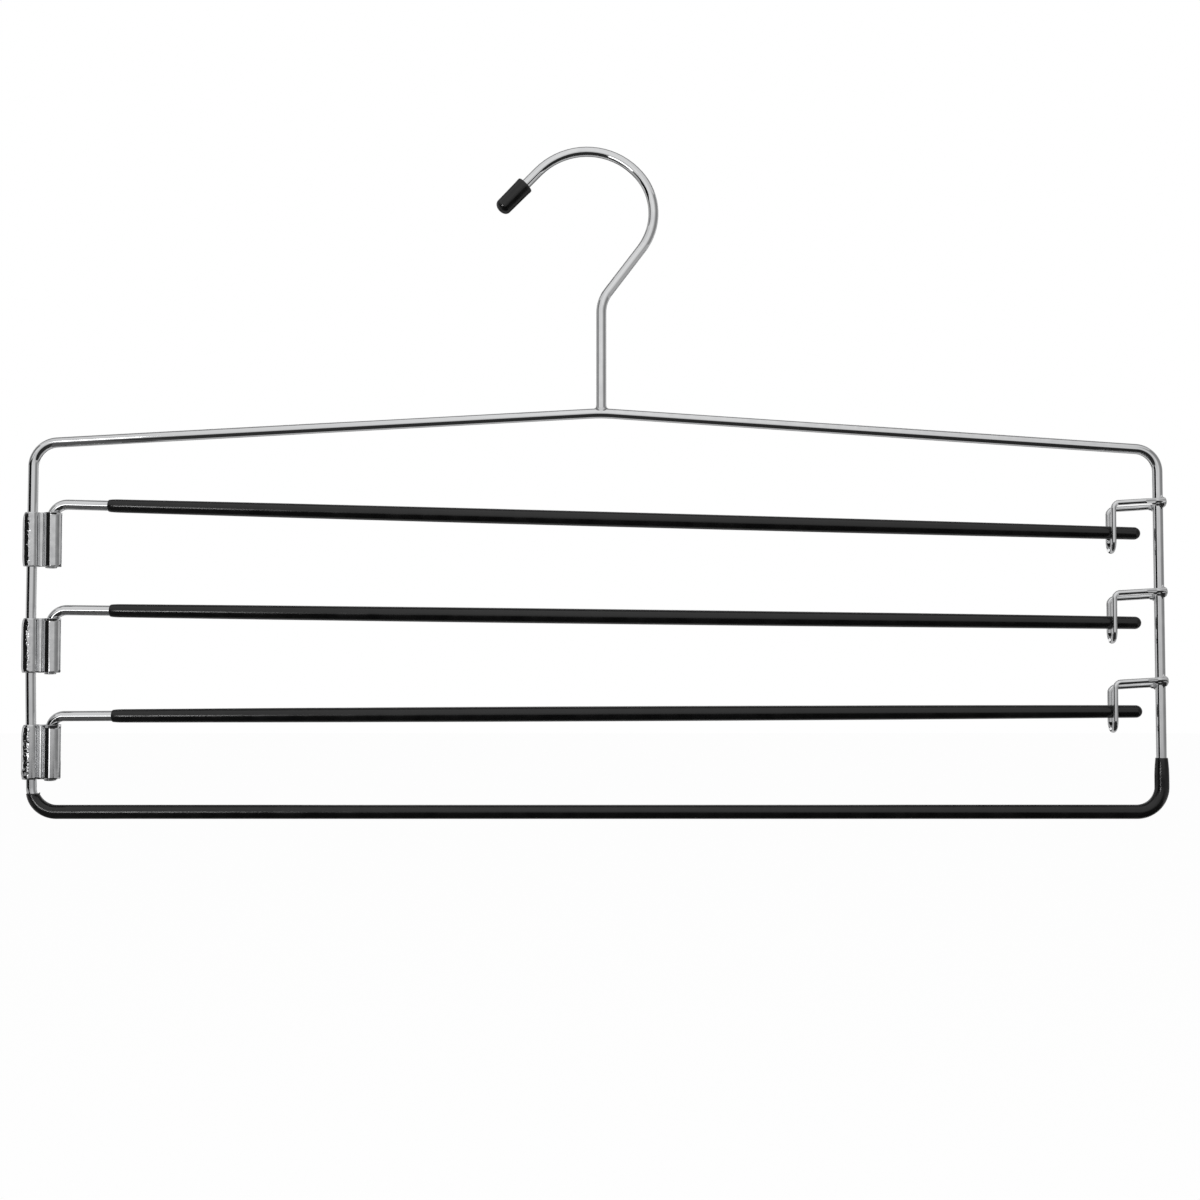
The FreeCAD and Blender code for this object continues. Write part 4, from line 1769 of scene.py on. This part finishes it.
@dataclass
class Studio:
    """White backdrop and floor, soft light, cards that shape the chrome's reflections, and the camera."""

    floor_height: float = -0.52
    floor_size: float = 12.0
    floor_glow_share: float = 0.94
    floor_white: float = 0.96
    ambient: float = 0.75
    key_power: float = 6.0
    key_size: float = 0.9
    key_place: tuple[float, float, float] = (-0.3, -0.5, 1.0)
    key_aim: tuple[float, float, float] = (0.0, 0.0, -0.15)
    camera_place: tuple[float, float, float] = (0.00455, -0.535, -0.1726)
    camera_pitch: float = math.radians(1.88)
    focal_pixels: float = 1545.7
    image_pixels: float = 1200.0
    sensor: float = 36.0
    clip_range: tuple[float, float] = (0.01, 50.0)

    CARDS = (
        Card(
            "front_wall_foot",
            ((-0.46, -0.75, -0.25), (0.60, -0.75, -0.25)),
            ((-0.46, -0.75, 0.05), (0.60, -0.75, 0.05)),
            (0.52, 0.76),
        ),
        Card(
            "front_wall_lip",
            ((-0.46, -0.75, -0.29), (0.60, -0.75, -0.29)),
            ((-0.46, -0.75, -0.25), (0.60, -0.75, -0.25)),
            (0.28, 0.50),
        ),
        wall("front_wall_left", (-0.70, -0.75), (-0.05, -0.75), (0.05, 0.52), 0.66, 0.86),
        wall("front_wall_right", (-0.05, -0.75), (0.62, -0.75), (0.05, 0.52), 0.86, 0.62),
        wall("right_corner", (0.60, -0.75), (0.85, -0.45), (-0.50, 0.52), 0.40, 0.30),
        wall("right_wall", (0.85, -0.45), (0.85, 0.30), (-0.50, 0.52), 0.25),
        wall("rear_right_wall", (0.85, 0.30), (0.45, 0.75), (-0.50, 0.52), 0.55),
        wall("left_wall", (-0.95, -0.75), (-0.95, 0.0), (-0.50, 0.52), 0.38),
        wall("left_flag", (-0.46, -0.62), (-0.85, 0.0), (-0.50, 0.02), 0.012),
        wall("left_post", (-0.90, -0.20), (-0.90, 0.10), (0.0, 0.50), 0.05),
        wall("rear_left_wall", (-0.95, 0.10), (-0.45, 0.75), (-0.50, 0.52), 0.55, 0.36),
        sheet("ceiling_left", 0.52, (-0.95, -0.05, -0.95, -0.05), (-0.75, 0.05), 0.62, 0.86),
        sheet("ceiling_right", 0.52, (-0.05, 0.85, -0.05, 0.85), (-0.75, 0.05), 0.86, 0.60),
        sheet("rear_ceiling", 0.52, (-0.95, 0.85, -0.95, 0.85), (0.05, 0.65), 0.25),
        sheet("low_flag", -0.29, (-0.46, 0.54, -0.245, 0.31), (-0.75, 0.035), 0.035, 0.02),
        sheet("low_left_floor", -0.2895, (-0.46, -0.394, -0.30, -0.167), (-0.74, 0.0), 0.10),
        sheet("low_left_wing", -0.2915, (-0.95, -0.25, -0.95, -0.25), (-0.30, 0.30), 0.35),
        sheet("low_left_flag", -0.289, (-0.265, -0.19, -0.245, -0.19), (-0.10, 0.10), 0.09),
        sheet("low_right_floor", -0.291, (0.50, 0.85, 0.30, 0.85), (-0.74, 0.30), 0.42),
        sheet("rear_floor", -0.291, (-0.80, 0.80, -0.80, 0.80), (0.035, 0.30), 0.50),
        sheet("dark_rear_floor", -0.291, (-0.80, 0.80, -1.20, 1.20), (0.30, 1.20), 0.03),
        wall("rear_left_flag", (-0.45, 0.75), (-0.26, 0.86), (-0.50, 0.52), 0.02),
        wall("rear_right_flag", (0.45, 0.75), (0.26, 0.86), (-0.50, 0.52), 0.02),
    )

    STRIPS = (
        Strip("grip_strip", (-0.375, -0.70, -0.205), (0.13, 0.10), 0.55, "_grip"),
        Strip("cap_strip", (-0.375, -0.70, -0.205), (0.10, 0.10), 2.0, "_end_cap"),
        Strip("bar_strip", (-0.375, -0.70, -0.195), (0.13, 0.07), 0.10, "_swing_wire"),
        Strip("clip_strip", (-0.365, -0.70, -0.235), (0.085, 0.10), 0.065, "_clip_strip"),
        Strip("rail_strip", (-0.405, -0.70, 0.05), (0.07, 0.08), 0.105, "frame_loop"),
        Strip("hook_strip", (-0.23, -0.34, -0.234), (0.23, 0.25), 0.40, "rail_hook", (0.0, 0.2, 1.0)),
    )

    def _white_to_lenses(self, nodes: bpy.types.Nodes, links: bpy.types.NodeLinks) -> bpy.types.NodeSocket:
        """Make a switch that is 1 for camera, glossy and transmission rays, and 0 for the rest.

        Args:
            nodes: The nodes of the tree that gets it.
            links: The links of that tree.

        Returns:
            The switch.
        """
        path = nodes.new("ShaderNodeLightPath")
        first, second = nodes.new("ShaderNodeMath"), nodes.new("ShaderNodeMath")
        first.operation = second.operation = "MAXIMUM"
        links.new(path.outputs["Is Camera Ray"], first.inputs[0])
        links.new(path.outputs["Is Glossy Ray"], first.inputs[1])
        links.new(first.outputs["Value"], second.inputs[0])
        links.new(path.outputs["Is Transmission Ray"], second.inputs[1])
        return second.outputs["Value"]

    def _world(self) -> None:
        """Set a white world that lights the hanger at a plain level."""
        world = bpy.data.worlds.new("studio_air")
        bpy.context.scene.world = world
        nodes, links = fresh_nodes(world)
        output = nodes.new("ShaderNodeOutputWorld")
        seen, light = nodes.new("ShaderNodeBackground"), nodes.new("ShaderNodeBackground")
        light.inputs["Strength"].default_value = self.ambient
        seen.inputs["Color"].default_value = light.inputs["Color"].default_value = (1.0, 1.0, 1.0, 1.0)
        mix = nodes.new("ShaderNodeMixShader")
        links.new(self._white_to_lenses(nodes, links), mix.inputs["Fac"])
        links.new(light.outputs["Background"], mix.inputs[1])
        links.new(seen.outputs["Background"], mix.inputs[2])
        links.new(mix.outputs["Shader"], output.inputs["Surface"])

    def _floor(self) -> None:
        """Lay the pale floor, white to the lens but with a share of its real shading, to keep the shadow."""
        deselect_all()
        bpy.ops.mesh.primitive_plane_add(size=self.floor_size, location=(0.0, 0.0, self.floor_height))
        bpy.ops.object.transform_apply(location=True, rotation=True, scale=True)
        floor = bpy.context.object
        floor.name = floor.data.name = "pale_floor"
        paint = bpy.data.materials.new("pale_floor")
        nodes, links = fresh_nodes(paint)
        output = nodes.new("ShaderNodeOutputMaterial")
        matt, glow = nodes.new("ShaderNodeBsdfDiffuse"), nodes.new("ShaderNodeEmission")
        matt.inputs["Color"].default_value = (self.floor_white, self.floor_white, self.floor_white, 1.0)
        share = nodes.new("ShaderNodeMath")
        share.operation = "MULTIPLY"
        share.inputs[1].default_value = self.floor_glow_share
        mix = nodes.new("ShaderNodeMixShader")
        links.new(self._white_to_lenses(nodes, links), share.inputs[0])
        links.new(share.outputs["Value"], mix.inputs["Fac"])
        links.new(matt.outputs["BSDF"], mix.inputs[1])
        links.new(glow.outputs["Emission"], mix.inputs[2])
        links.new(mix.outputs["Shader"], output.inputs["Surface"])
        floor.data.materials.append(paint)

    def _lamp(
        self, name: str, place: Vector, aim: Vector, size: tuple[float, float], power: float
    ) -> bpy.types.Object:
        """Hang an oblong soft lamp.

        Args:
            name: The lamp's name.
            place: Where it hangs.
            aim: The place that it faces.
            size: Its width and height.
            power: Its power in watts.

        Returns:
            The lamp.
        """
        lamp = bpy.data.objects.new(name, bpy.data.lights.new(name, "AREA"))
        lamp.data.shape = "RECTANGLE"
        lamp.data.size, lamp.data.size_y = size
        lamp.data.energy = power
        lamp.location = place
        lamp.rotation_euler = (aim - place).to_track_quat("-Z", "Y").to_euler()
        lamp.visible_camera = False
        bpy.context.scene.collection.objects.link(lamp)
        return lamp

    def _light(self) -> None:
        """Hang the overhead softbox, which the chrome doesn't mirror, and the strips for single pieces."""
        place, aim, size = Vector(self.key_place), Vector(self.key_aim), (self.key_size, self.key_size)
        key = self._lamp("overhead_softbox", place, aim, size, self.key_power)
        key.visible_glossy = False
        for strip in self.STRIPS:
            place = Vector(strip.place)
            lamp = self._lamp(strip.name, place, place + Vector(strip.facing), strip.size, strip.power)
            lit = bpy.data.collections.new(f"lit_by_{strip.name}")
            for piece in bpy.context.scene.objects:
                if piece.name.endswith(strip.ending):
                    lit.objects.link(piece)
            lamp.light_linking.receiver_collection = lit

    def _camera(self) -> None:
        """Set up the camera at the photograph's viewing angle."""
        camera = bpy.data.objects.new("front_camera", bpy.data.cameras.new("front_camera"))
        camera.data.sensor_width = self.sensor
        camera.data.lens = self.focal_pixels / self.image_pixels * self.sensor
        camera.data.clip_start, camera.data.clip_end = self.clip_range
        camera.location = self.camera_place
        camera.rotation_euler = (math.pi / 2 + self.camera_pitch, 0.0, 0.0)
        bpy.context.scene.collection.objects.link(camera)
        bpy.context.scene.camera = camera

    def build(self) -> None:
        """Set up the whole studio."""
        bpy.context.scene.view_settings.view_transform = "Standard"
        self._world()
        self._floor()
        for card in self.CARDS:
            card.build()
        self._light()
        self._camera()


# For each arm: its droop in degrees, and in mm where its grip starts, its bend's radius and its pin's play
ARM_SIZES = (
    (Level.UPPER, 1.55, 19.2, 5.5, 0.6),
    (Level.MIDDLE, 0.68, 20.1, 5.5, 0.5),
    (Level.LOWER, -0.25, 21.2, 4.6, 0.1),
)
CLIP_DENTS = {Level.UPPER: 0.10 * MM, Level.MIDDLE: 0.17 * MM, Level.LOWER: 0.24 * MM}
CLIP_SLIPS = {Level.UPPER: 0.0, Level.MIDDLE: 0.0, Level.LOWER: 0.4 * MM}


def main() -> None:
    """Build the hanger's sub-assemblies in order, then the studio round them."""
    logging.basicConfig(level=logging.INFO, format="%(name)s: %(message)s")
    layout = Layout()
    finishes = Finishes.make()
    arms = {
        level: SwingArm(layout, level, math.radians(droop), start * MM, bend * MM, play * MM)
        for level, droop, start, bend, play in ARM_SIZES
    }
    WireFrame(layout).build(finishes)
    RailHook(layout).build(finishes)
    HingeClip(layout, CLIP_DENTS, CLIP_SLIPS).build(finishes)
    for arm in arms.values():
        arm.build(finishes)
    BarKeeper(layout, arms).build(finishes)
    Studio().build()


if __name__ == "__main__":
    main()
